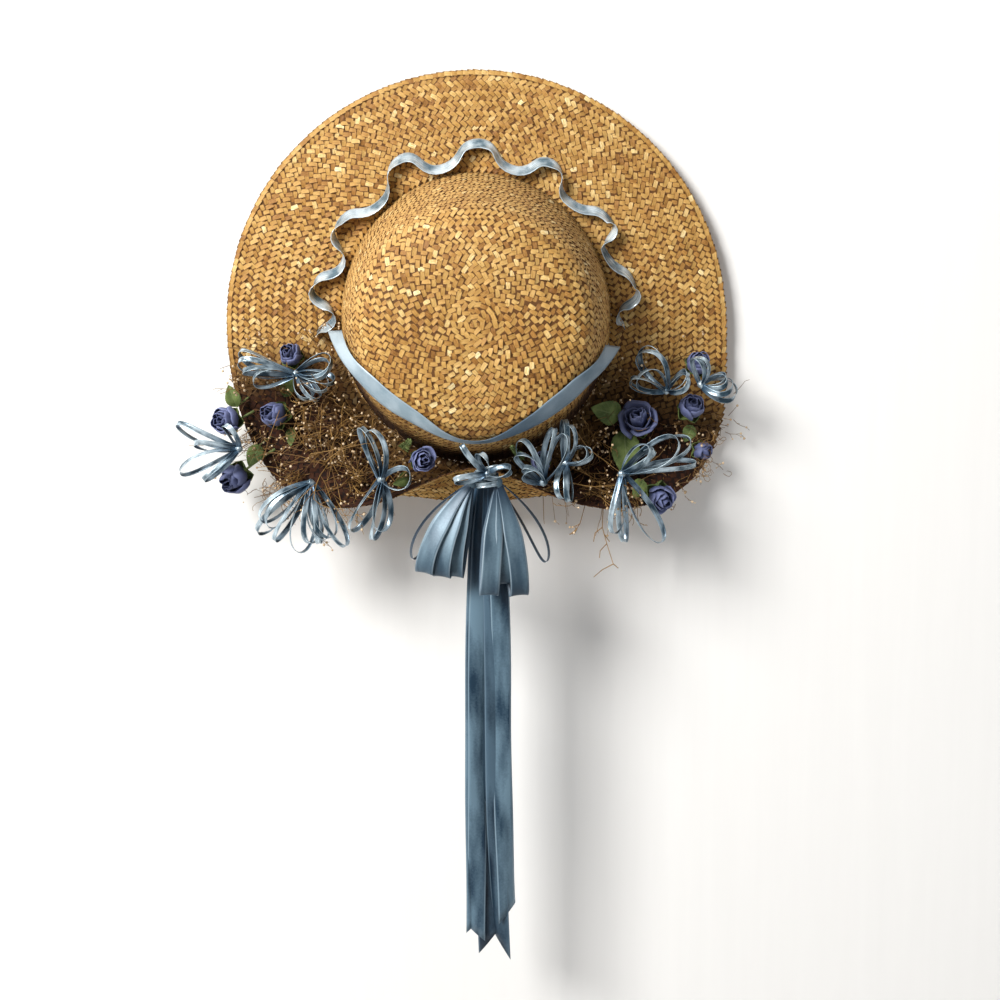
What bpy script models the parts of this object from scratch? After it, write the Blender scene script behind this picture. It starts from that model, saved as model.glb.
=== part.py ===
"""Straw hat, hung up by its crown, with ribbons, roses and leaves.

The crown faces -Y and +Z is up. The origin is where the hat hangs: the inner top of the crown's
opening. Every place in a table is in millimetres from the middle of the round brim: across (+X),
up (+Z) and forward (-Y), the way that the crown points.
"""
import math

import bmesh
import bpy
from mathutils import Vector

MM = 0.001
GAP = 0.3
SEAT_GAP = 0.55

# Straw shell
BRIM_RADIUS = 177.0
CROWN_HALF_WIDTH = 95.0
CROWN_HALF_LENGTH = 102.0
CROWN_RAISED = 4.0
STRAW_WALL = 2.4
PEG_UP = CROWN_RAISED + CROWN_HALF_LENGTH - GAP - STRAW_WALL

# Rolled lower brim
ROLL_ANGLE = math.radians(135)
ROLL_REACH = math.radians(62)
ROLL_POWER = 1.65
ROLL_START = 5.6
ROLL_TRAVEL = 42.0
DROOP = 0.1
FLARES = [
    # middle, spread (degrees), extra width
    (60, 16, 14.0),
    (-60, 14, 4.0),
]
BRIM_STATIONS = [0.0, 0.08, 0.19, 0.3, 0.41, 0.53, 0.77, 1.0]
BRIM_SIDES = 56

# Crown profile: forward, share of the half width, share of the half length
CROWN_PROFILE = [
    (-1.2, 1.0, 1.0),
    (12, 0.985, 0.975),
    (30, 0.96, 0.93),
    (50, 0.93, 0.87),
    (66, 0.895, 0.812),
    (77, 0.85, 0.75),
    (85, 0.76, 0.65),
    (90, 0.6, 0.5),
    (92.5, 0.3, 0.26),
    (93, 0.0, 0.0),
]
CROWN_SIDES = 32

# Ribbons
RIBBON_WALL = 1.0
WIDE_RIBBON = 13.0
WAVE_RIBBON = 9.0
WAVE_DROOP = math.radians(47)
NARROW_RIBBON = 3.0

CROWN_RIBBON = [
    # angle round from straight down, travel up the crown, how far its lower edge stands off
    (-86, 40, 9.0), (-80, 57, 7.0), (-72, 73, 5.0), (-63, 82, 3.0), (-53, 85.5, 2.0),
    (-43, 87, 1.0), (-33, 86.5, 0.0), (-24, 83.5, 0.0), (-15, 78.5, 0.0),
    (-5, 74.0, 0.0), (5, 74.0, 0.0), (15, 78.5, 0.0), (24, 82.5, 0.0), (34, 85, 0.0),
    (44, 86.5, 1.0), (54, 85, 2.0), (62, 82, 3.0), (69, 74, 5.0), (75, 62, 7.0), (80, 50, 9.0),
]

WAVE_TURNS = [
    # angle round from straight down, reach out from the crown
    (-84, 17.0), (-92.5, 5.0), (-102, 20.5), (-114, 6.0), (-125, 20.5), (-141, 7.2),
    (-155, 24.0), (-167, 7.4), (-181, 22.0), (-194, 7.4), (-206, 21.5), (-217, 7.0),
    (-234, 19.5), (-241, 6.2), (-259, 18.5), (-267, 5.0), (-274, 9.0),
]

STREAMERS = [
    # name, across at the top, halfway and at the end, forward at the top and end,
    # up at the left and right corner of the cut end
    ("streamer_1", (12.0, 18.0, 21.6), (63.9, 62.9), (-413.0, -398.0)),
    ("streamer_2", (9.5, 12.5, 18.3), (62.4, 61.2), (-419.0, -440.0)),
    ("streamer_3", (6.5, 1.0, 0.6), (60.9, 59.5), (-416.5, -426.0)),
    ("streamer_4", (7.5, 4.7, 8.2), (59.4, 57.8), (-437.0, -420.0)),
    ("streamer_5", (4.5, -1.0, -0.9), (57.9, 56.1), (-421.5, -410.0)),
    ("streamer_6", (10.5, 10.0, 12.5), (56.4, 54.4), (-405.0, -412.0)),
]
STREAMER_TOP = -97.0

BOW_CENTRE = (8.0, -101.0, 68.2)
BOW_LOOPS = {
    "bow_left": [
        # tip across, up and forward, depth of the loop, width of the ribbon, turn (degrees)
        (-34.0, -164.0, 75.0, 9.0, 13.0, 72),
        (-21.3, -166.3, 77.0, 10.0, 13.0, 82),
        (-11.5, -167.0, 73.0, 7.0, 13.0, 94),
        (-42.0, -155.0, 74.0, 14.0, 5.0, 30),
    ],
    "bow_right": [
        (9.3, -178.0, 82.0, 7.0, 13.0, 86),
        (20.0, -171.5, 74.0, 8.0, 13.0, 92),
        (29.5, -179.0, 77.0, 10.0, 13.0, 102),
        (48.0, -156.0, 74.0, 14.0, 5.0, 150),
    ],
}
BOW_SPREAD = 0.5

ROSES = [
    # name, anchor angle, anchor reach, head across, up, forward, size, facing across, facing up
    ("rose_1", -79.5, 34, -129.0, -19.8, 15, 20, -0.1, 0.2),
    ("rose_2", -64.5, 58, -141.2, -61.4, 17, 25, 0.0, 0.1),
    ("rose_3", -67.5, 74, -174.6, -66.0, 16, 25, -0.3, 0.2),
    ("rose_4", -57.0, 72, -169.2, -107.0, 19, 27, -0.25, -0.25),
    ("rose_5", -22.0, 6, -35.5, -89.0, 57, 20, 0.1, 0.2),
    ("rose_6", 24.5, 8, 44.6, -89.5, 55, 16, 0.0, 0.0),
    ("rose_7", 58.5, 34, 112.5, -63.9, 21, 29, 0.0, 0.2),
    ("rose_8", 79.5, 62, 154.2, -25.4, 15, 18, 0.1, 0.3),
    ("rose_9", 67.5, 66, 149.5, -55.8, 18, 20, 0.1, 0.1),
    ("rose_10", 59.5, 78, 159.0, -87.5, 12, 15, 0.2, -0.1),
    ("rose_11", 46.5, 74, 127.0, -116.8, 45, 23, 0.1, -0.2),
]
ROSE_SIDES = 10
ROSE_PROFILE = [
    # along the axis, radius, petal wave, all as shares of the size
    (-0.44, 0.13, 0.0), (-0.3, 0.36, 0.03), (0.0, 0.47, 0.07), (0.3, 0.46, 0.1),
    (0.24, 0.27, 0.0), (0.4, 0.17, 0.05), (0.34, 0.07, 0.0),
]

LEAVES = [
    # name, anchor angle, anchor reach, base across, up, forward, tip across, up, forward, width
    ("leaf_1", -72.0, 46, -134.0, -50.0, 8, -128.0, -33.5, 13, 11),
    ("leaf_2", -71.0, 74, -168.0, -57.5, 5, -173.0, -42.0, 9, 12),
    ("leaf_3", -60.0, 70, -152.0, -84.0, 7, -159.5, -98.5, 11, 13),
    ("leaf_4", -58.0, 54, -129.5, -71.5, 8, -130.0, -84.5, 11, 8),
    ("leaf_5", 53.5, 22, 99.0, -61.5, 14, 83.0, -58.5, 22, 15),
    ("leaf_6", 49.0, 36, 104.5, -78.0, 14, 105.5, -100.0, 26, 14),
    ("leaf_7", -26.0, 34, -45.0, -103.0, 36, -56.0, -107.0, 47, 11),
    ("leaf_8", 44.5, 66, 116.0, -106.0, 30, 108.5, -117.0, 42, 12),
    ("leaf_9", 62.0, 74, 152.0, -70.5, 5, 146.0, -81.5, 9, 11),
    ("fern_1", -31.0, 4, -49.5, -83.0, 44, -43.0, -73.5, 70, 9),
    ("fern_2", 19.0, 4, 33.0, -90.0, 44, 24.0, -77.5, 74, 8),
]

LOOP_CLUSTERS = [
    # name, anchor angle, anchor reach, knot across, up, forward,
    # then each loop's tip across, up, forward, opening, turn (degrees)
    ("ribbon_loops_1", -76.0, 30, -124.0, -33.0, 27, [
        (-163.0, -18.0, 24, 13, 35), (-160.0, -31.0, 30, 9, 60), (-99.0, -22.0, 30, 13, 30),
        (-97.0, -38.0, 33, 11, 50), (-108.0, -50.0, 36, 9, 40)]),
    ("ribbon_loops_2", -61.5, 72, -163.0, -84.0, 35, [
        (-206.0, -67.0, 31, 10, 35), (-193.0, -80.0, 39, 8, 50), (-204.0, -101.0, 33, 11, 30),
        (-187.0, -105.0, 40, 9, 60), (-172.0, -67.0, 38, 8, 50)]),
    ("ribbon_loops_3", -43.0, 79, -112.0, -105.0, 54, [
        (-149.0, -141.0, 46, 13, 35), (-137.0, -145.0, 54, 10, 60), (-120.0, -153.0, 54, 15, 20),
        (-106.0, -146.0, 60, 9, 60), (-88.0, -148.0, 58, 11, 50)]),
    ("ribbon_loops_4", -31.0, 72, -63.0, -101.0, 70, [
        (-69.0, -142.0, 70, 10, 60), (-84.0, -136.0, 67, 9, 40), (-77.0, -66.0, 66, 9, 50),
        (-43.0, -100.0, 75, 13, 25)]),
    ("ribbon_loops_5", 0.0, 0, 8.0, -96.5, 75.2, [
        (-9.0, -76.0, 82, 6, 50), (5.0, -82.0, 84, 9, 20), (-14.0, -100.0, 83, 8, 30),
        (24.0, -94.0, 83, 9, 30)]),
    ("ribbon_loops_6", 25.0, 72, 46.0, -103.0, 68, [
        (30.0, -74.0, 72, 10, 30), (53.0, -66.0, 70, 9, 60), (33.0, -92.0, 74, 8, 40)]),
    ("ribbon_loops_7", 33.0, 30, 61.0, -91.0, 60, [
        (60.0, -61.0, 62, 8, 60), (79.0, -83.0, 60, 9, 30), (63.0, -116.0, 70, 8, 50)]),
    ("ribbon_loops_8", 67.0, 46, 131.0, -44.0, 31, [
        (116.0, -14.0, 26, 15, 30), (145.0, -31.0, 37, 9, 50), (106.0, -36.0, 35, 11, 40)]),
    ("ribbon_loops_9", 73.0, 66, 155.0, -40.0, 30, [
        (180.0, -45.0, 26, 13, 25), (172.0, -34.0, 33, 8, 50), (150.0, -21.0, 34, 9, 50)]),
    ("ribbon_loops_10", 38.0, 76, 99.0, -98.0, 61, [
        (146.0, -76.0, 48, 15, 30), (150.0, -92.0, 50, 11, 50), (102.0, -146.0, 52, 9, 60),
        (126.0, -144.0, 66, 12, 20), (121.0, -82.0, 60, 9, 60)]),
]
LOOP_STEPS = 7
KNOT_RADIUS = 3.4

MATERIALS = {
    # name: colour, roughness
    "straw": ((0.55, 0.33, 0.11), 0.55),
    "satin": ((0.16, 0.26, 0.36), 0.35),
    "rose_cloth": ((0.09, 0.11, 0.32), 0.7),
    "leaf_cloth": ((0.05, 0.12, 0.03), 0.7),
}


def clear_scene():
    for item in list(bpy.data.objects):
        bpy.data.objects.remove(item, do_unlink=True)


def make_material(name):
    colour, roughness = MATERIALS[name]
    material = bpy.data.materials.new(name)
    material.use_nodes = True
    shader = material.node_tree.nodes["Principled BSDF"]
    shader.inputs["Base Color"].default_value = (*colour, 1.0)
    shader.inputs["Roughness"].default_value = roughness
    shader.inputs["Metallic"].default_value = 0.0
    return material


def place(across, up, forward):
    """A point of the hat, in millimetres, in the part's own axes."""
    return Vector((across, -forward, up - PEG_UP))


def add_object(name, points, faces, material, cutter=False):
    """A closed mesh from points in millimetres, with its faces turned outwards."""
    mesh = bpy.data.meshes.new(name)
    mesh.from_pydata([point * MM for point in points], [], faces)
    shape = bmesh.new()
    shape.from_mesh(mesh)
    bmesh.ops.recalc_face_normals(shape, faces=shape.faces)
    shape.to_mesh(mesh)
    shape.free()
    mesh.materials.append(material)
    mesh.shade_smooth()
    mesh.set_sharp_from_angle(angle=math.radians(40))
    item = bpy.data.objects.new(name, mesh)
    bpy.context.scene.collection.objects.link(item)
    if cutter:
        item.hide_render = True
        item.display_type = "WIRE"
    return item


def oval_radius(angle):
    """Distance from the crown's middle to its foot; the angle is measured from straight down."""
    return 1 / math.hypot(math.sin(angle) / CROWN_HALF_WIDTH, math.cos(angle) / CROWN_HALF_LENGTH)


def brim_width(angle):
    """Flat width of the brim from the crown's foot to its edge."""
    edge = BRIM_RADIUS
    for middle, spread, extra in FLARES:
        edge += extra * math.exp(-((math.degrees(angle) - middle) / spread) ** 2)
    shift = CROWN_RAISED * math.sin(angle)
    return CROWN_RAISED * math.cos(angle) + math.sqrt(edge**2 - shift**2) - oval_radius(angle)


def roll_angle(angle):
    """How far the brim has turned forward at the end of its roll."""
    turned = (math.degrees(angle) + 180) % 360 - 180
    share = max(0.0, 1 - abs(math.radians(turned)) / ROLL_REACH)
    return ROLL_ANGLE * math.sin(math.pi / 2 * share) ** ROLL_POWER


def brim_point(angle, reach, lift):
    """A point on the brim: reach is measured along the straw and lift off its front face's middle."""
    full = roll_angle(angle)
    width = brim_width(angle)
    steps = max(2, int(reach / 2))
    outward = oval_radius(angle)
    forward = 0.0
    tilt = 0.0
    for step in range(steps):
        travel = (step + 0.5) * reach / steps
        tilt = full * min(1.0, max(0.0, (travel - ROLL_START) / ROLL_TRAVEL))
        tilt -= DROOP * (1 - full / ROLL_ANGLE) * travel / width
        outward += math.cos(tilt) * reach / steps
        forward += math.sin(tilt) * reach / steps
    tilt = full * min(1.0, max(0.0, (reach - ROLL_START) / ROLL_TRAVEL))
    tilt -= DROOP * (1 - full / ROLL_ANGLE) * reach / width
    outward -= math.sin(tilt) * lift
    forward += math.cos(tilt) * lift
    return place(outward * math.sin(angle), CROWN_RAISED - outward * math.cos(angle), forward)


def profile_travel():
    """Distance along the crown's profile at each of its rows, at the mean of the two half sizes."""
    mean = (CROWN_HALF_WIDTH + CROWN_HALF_LENGTH) / 2
    travels = [0.0]
    for low, high in zip(CROWN_PROFILE, CROWN_PROFILE[1:]):
        inward = mean * (low[1] + low[2] - high[1] - high[2]) / 2
        travels.append(travels[-1] + math.hypot(inward, high[0] - low[0]))
    return travels


PROFILE_TRAVEL = profile_travel()


def crown_row(travel):
    """The crown's forward distance and its two shares at a distance along the profile."""
    for index, (start, end) in enumerate(zip(PROFILE_TRAVEL, PROFILE_TRAVEL[1:])):
        if travel <= end:
            share = (travel - start) / (end - start)
            low, high = CROWN_PROFILE[index], CROWN_PROFILE[index + 1]
            return [a + (b - a) * share for a, b in zip(low, high)]
    return list(CROWN_PROFILE[-1])


def crown_point(angle, travel, lift):
    """A point on the crown's outer face, or off it by lift along its slope."""
    here = crown_row(travel)
    before = crown_row(max(0.0, travel - 3))
    after = crown_row(travel + 3)
    radius = oval_radius(angle) - GAP
    slopes = []
    for forward, wide, long in (before, here, after):
        share = wide * math.sin(angle) ** 2 + long * math.cos(angle) ** 2
        slopes.append((radius * share, forward))
    run = slopes[2][0] - slopes[0][0]
    rise = slopes[2][1] - slopes[0][1]
    size = math.hypot(run, rise)
    outward = slopes[1][0] + lift * rise / size
    forward = slopes[1][1] - lift * run / size
    return place(outward * math.sin(angle), CROWN_RAISED - outward * math.cos(angle), forward)


def grid_faces(rows, columns, closed, start=0):
    """Quads between rows of points, round the rows where they close."""
    faces = []
    for row in range(rows if closed else rows - 1):
        other = (row + 1) % rows
        for column in range(columns - 1):
            faces.append((
                start + row * columns + column,
                start + other * columns + column,
                start + other * columns + column + 1,
                start + row * columns + column + 1,
            ))
    return faces


def make_crown(material):
    rows = CROWN_PROFILE[:-1]
    points = []
    for inner in (False, True):
        for side in range(CROWN_SIDES):
            angle = 2 * math.pi * side / CROWN_SIDES
            for travel in PROFILE_TRAVEL[:-1]:
                lift = -STRAW_WALL if inner else 0.0
                point = crown_point(angle, travel, lift)
                if travel == 0.0:
                    point.y = STRAW_WALL / 2
                points.append(point)
    count = len(rows)
    shell = CROWN_SIDES * count
    faces = grid_faces(CROWN_SIDES, count, True)
    faces += grid_faces(CROWN_SIDES, count, True, shell)
    for start, forward in ((0, CROWN_PROFILE[-1][0]), (shell, CROWN_PROFILE[-1][0] - STRAW_WALL)):
        points.append(place(0, CROWN_RAISED, forward))
        for side in range(CROWN_SIDES):
            other = (side + 1) % CROWN_SIDES
            faces.append((start + side * count + count - 1, start + other * count + count - 1,
                          len(points) - 1))
    for side in range(CROWN_SIDES):
        other = (side + 1) % CROWN_SIDES
        faces.append((side * count, other * count, shell + other * count, shell + side * count))
    return add_object("crown", points, faces, material)


def make_brim(material):
    points = []
    for lift in (STRAW_WALL / 2, -STRAW_WALL / 2):
        for side in range(BRIM_SIDES):
            angle = 2 * math.pi * side / BRIM_SIDES - math.pi
            for station in BRIM_STATIONS:
                points.append(brim_point(angle, station * brim_width(angle), lift))
    count = len(BRIM_STATIONS)
    shell = BRIM_SIDES * count
    faces = grid_faces(BRIM_SIDES, count, True) + grid_faces(BRIM_SIDES, count, True, shell)
    for edge in (0, count - 1):
        for side in range(BRIM_SIDES):
            other = (side + 1) % BRIM_SIDES
            faces.append((side * count + edge, other * count + edge, shell + other * count + edge,
                          shell + side * count + edge))
    return add_object("brim", points, faces, material)


def strip_object(name, sections, material, cutter=False):
    """A closed strip through sections of four corners each."""
    points = [corner for section in sections for corner in section]
    faces = [(0, 1, 2, 3)]
    for index in range(len(sections) - 1):
        start = 4 * index
        for corner in range(4):
            other = (corner + 1) % 4
            faces.append((start + corner, start + other, start + 4 + other, start + 4 + corner))
    last = 4 * (len(sections) - 1)
    faces.append((last + 3, last + 2, last + 1, last))
    return add_object(name, points, faces, material, cutter)


def flat_section(middle, across, through, width, wall):
    """The four corners of a ribbon's section."""
    half = across * width / 2
    deep = through * wall / 2
    return [middle - half - deep, middle + half - deep, middle + half + deep, middle - half + deep]


def make_crown_ribbon(material):
    """The wide ribbon over the crown's lower front, in three strips of its width."""
    lifts = (GAP + 0.8, GAP + 0.8 + RIBBON_WALL)
    half = WIDE_RIBBON / 2
    columns = (-half, -half / 3, half / 3, half)
    points = []
    for lift in lifts:
        for angle, travel, stand in CROWN_RIBBON:
            for column in columns:
                off = lift + stand * (half - column) / WIDE_RIBBON
                points.append(crown_point(math.radians(angle), travel + column, off))
    count = len(columns)
    rows = len(CROWN_RIBBON)
    shell = rows * count
    faces = grid_faces(rows, count, False) + grid_faces(rows, count, False, shell)
    for edge in (0, count - 1):
        for row in range(rows - 1):
            faces.append((row * count + edge, (row + 1) * count + edge,
                          shell + (row + 1) * count + edge, shell + row * count + edge))
    for row in (0, rows - 1):
        for column in range(count - 1):
            start = row * count + column
            faces.append((start, start + 1, shell + start + 1, shell + start))
    return add_object("crown_ribbon", points, faces, material)


def make_wave_ribbon(material):
    """The ribbon that stands on its edge on the brim and droops, waved round the crown."""
    middles = []
    for (angle_a, reach_a), (angle_b, reach_b) in zip(WAVE_TURNS, WAVE_TURNS[1:]):
        for share in (0.0, 0.25, 0.5, 0.75):
            swing = (1 - math.cos(math.pi * share)) / 2
            angle = math.radians(angle_a + (angle_b - angle_a) * share)
            middles.append((angle, reach_a + (reach_b - reach_a) * swing))
    last_angle, last_reach = WAVE_TURNS[-1]
    middles.append((math.radians(last_angle), last_reach))
    foot = STRAW_WALL / 2 + GAP + 0.3
    leaning = Vector((0, -math.cos(WAVE_DROOP), -math.sin(WAVE_DROOP)))
    sections = []
    for index, (angle, reach) in enumerate(middles):
        low = brim_point(angle, reach, foot)
        before = middles[max(0, index - 1)]
        after = middles[min(len(middles) - 1, index + 1)]
        along = (brim_point(*after, foot) - brim_point(*before, foot)).normalized()
        upright = (leaning - along * leaning.dot(along)).normalized()
        through = along.cross(upright).normalized()
        middle = low + upright * WAVE_RIBBON / 2
        sections.append(flat_section(middle, upright, through, WAVE_RIBBON, RIBBON_WALL))
    return strip_object("wave_ribbon", sections, material)


def loop_sections(knot, tip, opening, turn, width, gather, spread=0.0):
    """A ribbon that leaves its knot, opens into a drop-shaped loop and comes back.

    With spread it sets out sideways and then falls, so that the loop hangs more upright."""
    along = tip - knot
    length = along.length
    along.normalize()
    toward = Vector((0, -1, 0))
    flat = along.cross(toward).normalized()
    facing = flat.cross(along).normalized()
    side = flat * math.cos(turn) + facing * math.sin(turn)
    fall = Vector((tip.x - knot.x, 0, 0)) * spread
    middles = []
    for step in range(LOOP_STEPS + 1):
        share = step / LOOP_STEPS
        out = (1 - math.cos(2 * math.pi * share)) / 2
        swing = opening * 0.77 * math.sin(2 * math.pi * share) * out**0.5
        apart = RIBBON_WALL * math.cos(math.pi * share)
        spine = knot + along * length * out + fall * out * (1 - out)
        middles.append((spine + side * (swing + apart), out))
    sections = []
    for index, (middle, out) in enumerate(middles):
        across = (along * length + fall * (1 - 2 * out)).cross(side).normalized()
        before = middles[max(0, index - 1)][0]
        after = middles[min(LOOP_STEPS, index + 1)][0]
        tangent = (after - before).normalized()
        through = tangent.cross(across).normalized()
        wide = width * min(1.0, gather + (1 - gather) * out * 2.2)
        sections.append(flat_section(middle, across, through, wide, RIBBON_WALL))
    return sections


def rod_sections(start, foot, facing, radius):
    """A square rod down to a foot that lies flat on the straw."""
    across = (foot - start).cross(facing).normalized()
    sections = []
    for point, along in ((start, (foot - start).normalized()), (foot, -facing)):
        through = along.cross(across).normalized()
        sections.append(flat_section(point, across, through, 2 * radius, 2 * radius))
    return sections


def make_knot(name, middle, size, material):
    """A rounded knot: a small sphere of triangles, stretched to its size."""
    shape = bmesh.new()
    bmesh.ops.create_icosphere(shape, subdivisions=1, radius=1.0)
    points = [middle + Vector([a * b for a, b in zip(corner.co, size)]) for corner in shape.verts]
    faces = [tuple(corner.index for corner in face.verts) for face in shape.faces]
    shape.free()
    return add_object(name, points, faces, material)


def fuse(body, others):
    """Union with each of the others, so that the piece is one closed body."""
    for other in others:
        joined = body.modifiers.new(other.name, "BOOLEAN")
        joined.operation = "UNION"
        joined.solver = "EXACT"
        joined.object = other
    return body


def seat(anchor_angle, anchor_reach):
    """Where a stem stands on the brim's facets, a small gap off, and which way they face."""
    turn = 2 * math.pi / BRIM_SIDES
    low_angle = math.floor(math.radians(anchor_angle) / turn) * turn
    round_share = math.radians(anchor_angle) / turn - low_angle / turn
    reach_share = anchor_reach / brim_width(math.radians(anchor_angle))
    station = max(index for index, share in enumerate(BRIM_STATIONS[:-1]) if share <= reach_share)
    low, high = BRIM_STATIONS[station], BRIM_STATIONS[station + 1]
    out_share = (reach_share - low) / (high - low)
    corners = [[brim_point(angle, share * brim_width(angle), STRAW_WALL / 2) for share in (low, high)]
               for angle in (low_angle, low_angle + turn)]
    near = corners[0][0].lerp(corners[1][0], round_share)
    far = corners[0][1].lerp(corners[1][1], round_share)
    left = corners[0][0].lerp(corners[0][1], out_share)
    right = corners[1][0].lerp(corners[1][1], out_share)
    facing = (far - near).cross(right - left).normalized()
    if facing.dot(brim_point(math.radians(anchor_angle), anchor_reach, 5) - near.lerp(far, out_share)) < 0:
        facing.negate()
    return near.lerp(far, out_share) + facing * SEAT_GAP, facing


def make_loop_cluster(row, material):
    name, anchor_angle, anchor_reach, across, up, forward, loops = row
    middle = place(across, up, forward)
    body = make_knot(name, middle, (KNOT_RADIUS, KNOT_RADIUS, KNOT_RADIUS), material)
    others = []
    if anchor_reach > 0:
        stem = rod_sections(middle, *seat(anchor_angle, anchor_reach), 0.8)
        others.append(strip_object(name + "_stem", stem, material, True))
    for index, (tip_across, tip_up, tip_forward, opening, turn) in enumerate(loops):
        tip = place(tip_across, tip_up, tip_forward)
        sections = loop_sections(middle, tip, opening, math.radians(turn), NARROW_RIBBON, 1.0)
        others.append(strip_object(f"{name}_cut_{index}", sections, material, True))
    return fuse(body, others)


def make_bow_side(name, side, material):
    """The wide loops on one side of the bow, fused to the half core that they leave."""
    across, up, forward = BOW_CENTRE
    middle = place(across + side * 4.2, up - 2.1, forward + 0.8)
    body = make_knot(name, middle, (3.6, 3.6, 4.6), material)
    others = []
    for index, (tip_across, tip_up, tip_forward, depth, width, turn) in enumerate(BOW_LOOPS[name]):
        tip = place(tip_across, tip_up, tip_forward)
        sections = loop_sections(middle, tip, depth, math.radians(turn), width, 0.3, BOW_SPREAD)
        others.append(strip_object(f"{name}_cut_{index}", sections, material, True))
    return fuse(body, others)


def make_bow_knot(material):
    """The satin knot between the two sides of the bow."""
    across, up, forward = BOW_CENTRE
    return make_knot("bow_knot", place(across, up + 4.5, forward), (6.4, 4.4, 3.2), material)


def make_streamer(row, material):
    name, acrosses, forwards, corners = row
    top, middle, end = acrosses
    steps = 6
    sections = []
    deepest = sum(corners) / 2
    for step in range(steps + 1):
        share = step / steps
        near = min(1.0, share * 2)
        far = max(0.0, share * 2 - 1)
        across = top + (middle - top) * near + (end - middle) * far
        forward = forwards[0] + (forwards[1] - forwards[0]) * share
        width = WIDE_RIBBON * min(1.0, 0.55 + share * 3.6)
        up = STREAMER_TOP + (deepest - STREAMER_TOP) * share
        left = right = up
        if step == steps:
            left, right = corners
        half = width / 2
        wall = RIBBON_WALL / 2
        sections.append([place(across - half, left, forward - wall),
                         place(across + half, right, forward - wall),
                         place(across + half, right, forward + wall),
                         place(across - half, left, forward + wall)])
    return strip_object(name, sections, material)


def make_rose(row, material):
    """A rose head of five petals round a bud, with its stem down to the straw."""
    name, angle, reach, across, up, forward, size, face_across, face_up = row
    head = place(across, up, forward)
    axis = Vector((face_across, -1.0, face_up)).normalized()
    foot, facing = seat(angle, reach)
    calyx = head + axis * size * ROSE_PROFILE[0][0]
    stem = 1.0
    rings = [(foot, facing, stem, 0.0),
             ((foot + calyx) / 2 + facing * 1.5, (calyx - foot).normalized(), stem, 0.0)]
    for along, radius, wave in ROSE_PROFILE:
        rings.append((head + axis * size * along, axis, size * radius, wave * size))
    points = []
    first = axis.cross(Vector((0, 0, 1))).normalized()
    for middle, normal, radius, wave in rings:
        side = (first - normal * first.dot(normal)).normalized()
        other = normal.cross(side)
        for index in range(ROSE_SIDES):
            turn = 2 * math.pi * index / ROSE_SIDES
            spread = radius + (wave / 2 if index % 2 else -wave / 2)
            points.append(middle + side * math.cos(turn) * spread + other * math.sin(turn) * spread)
    faces = [tuple(range(ROSE_SIDES))]
    for ring in range(len(rings) - 1):
        start = ring * ROSE_SIDES
        for index in range(ROSE_SIDES):
            beside = (index + 1) % ROSE_SIDES
            faces.append((start + index, start + beside, start + ROSE_SIDES + beside,
                          start + ROSE_SIDES + index))
    last = (len(rings) - 1) * ROSE_SIDES
    faces.append(tuple(last + index for index in reversed(range(ROSE_SIDES))))
    return add_object(name, points, faces, material)


def make_leaf(row, material):
    """A leaf or a fern tip: a thin blade on a stalk that stands on the straw."""
    name, angle, reach = row[:3]
    base = place(*row[3:6])
    tip = place(*row[6:9])
    width = row[9]
    foot, facing = seat(angle, reach)
    along = (tip - base).normalized()
    toward = Vector((0, -1, 0))
    across = along.cross(toward).normalized()
    through = across.cross(along).normalized()
    shares = (0.12, 0.62, 0.98, 0.86, 0.5, 0.08)
    if name.startswith("fern"):
        shares = (0.2, 0.9, 0.5, 1.0, 0.5, 0.85, 0.35, 0.5, 0.08)
    stalk_across = (across - facing * across.dot(facing)).normalized()
    stalk_through = stalk_across.cross(facing).normalized()
    sections = [flat_section(foot, stalk_across, stalk_through, 1.4, RIBBON_WALL)]
    for index, share in enumerate(shares):
        place_along = index / (len(shares) - 1)
        bend = through * math.sin(math.pi * place_along) * width * 0.12
        middle = base.lerp(tip, place_along) + bend
        sections.append(flat_section(middle, across, through, width * share, RIBBON_WALL))
    return strip_object(name, sections, material)


def main():
    clear_scene()
    straw, satin, rose_cloth, leaf_cloth = [make_material(name) for name in MATERIALS]
    make_crown(straw)
    make_brim(straw)
    make_crown_ribbon(satin)
    make_wave_ribbon(satin)
    make_bow_knot(satin)
    make_bow_side("bow_left", -1, satin)
    make_bow_side("bow_right", 1, satin)
    for row in STREAMERS:
        make_streamer(row, satin)
    for row in LOOP_CLUSTERS:
        make_loop_cluster(row, satin)
    for row in ROSES:
        make_rose(row, rose_cloth)
    for row in LEAVES:
        make_leaf(row, leaf_cloth)


main()
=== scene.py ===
"""Straw hat with satin ribbons, cloth roses and dried flowers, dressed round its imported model."""

import math
import random

import bmesh
import bpy
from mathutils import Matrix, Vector


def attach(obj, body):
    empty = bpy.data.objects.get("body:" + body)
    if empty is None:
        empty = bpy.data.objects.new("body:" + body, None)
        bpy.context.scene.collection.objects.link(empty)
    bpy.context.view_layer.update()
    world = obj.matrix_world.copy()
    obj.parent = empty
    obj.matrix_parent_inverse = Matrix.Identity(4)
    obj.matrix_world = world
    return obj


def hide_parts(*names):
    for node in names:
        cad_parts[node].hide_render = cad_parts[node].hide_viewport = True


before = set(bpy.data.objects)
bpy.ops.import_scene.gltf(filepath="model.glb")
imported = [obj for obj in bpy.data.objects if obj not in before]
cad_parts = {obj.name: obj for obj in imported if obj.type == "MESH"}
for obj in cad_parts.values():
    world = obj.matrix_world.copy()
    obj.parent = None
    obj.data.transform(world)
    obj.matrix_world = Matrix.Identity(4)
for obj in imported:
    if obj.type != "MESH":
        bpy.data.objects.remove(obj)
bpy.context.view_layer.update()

MM = 0.001
TAU = 2 * math.pi

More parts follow.
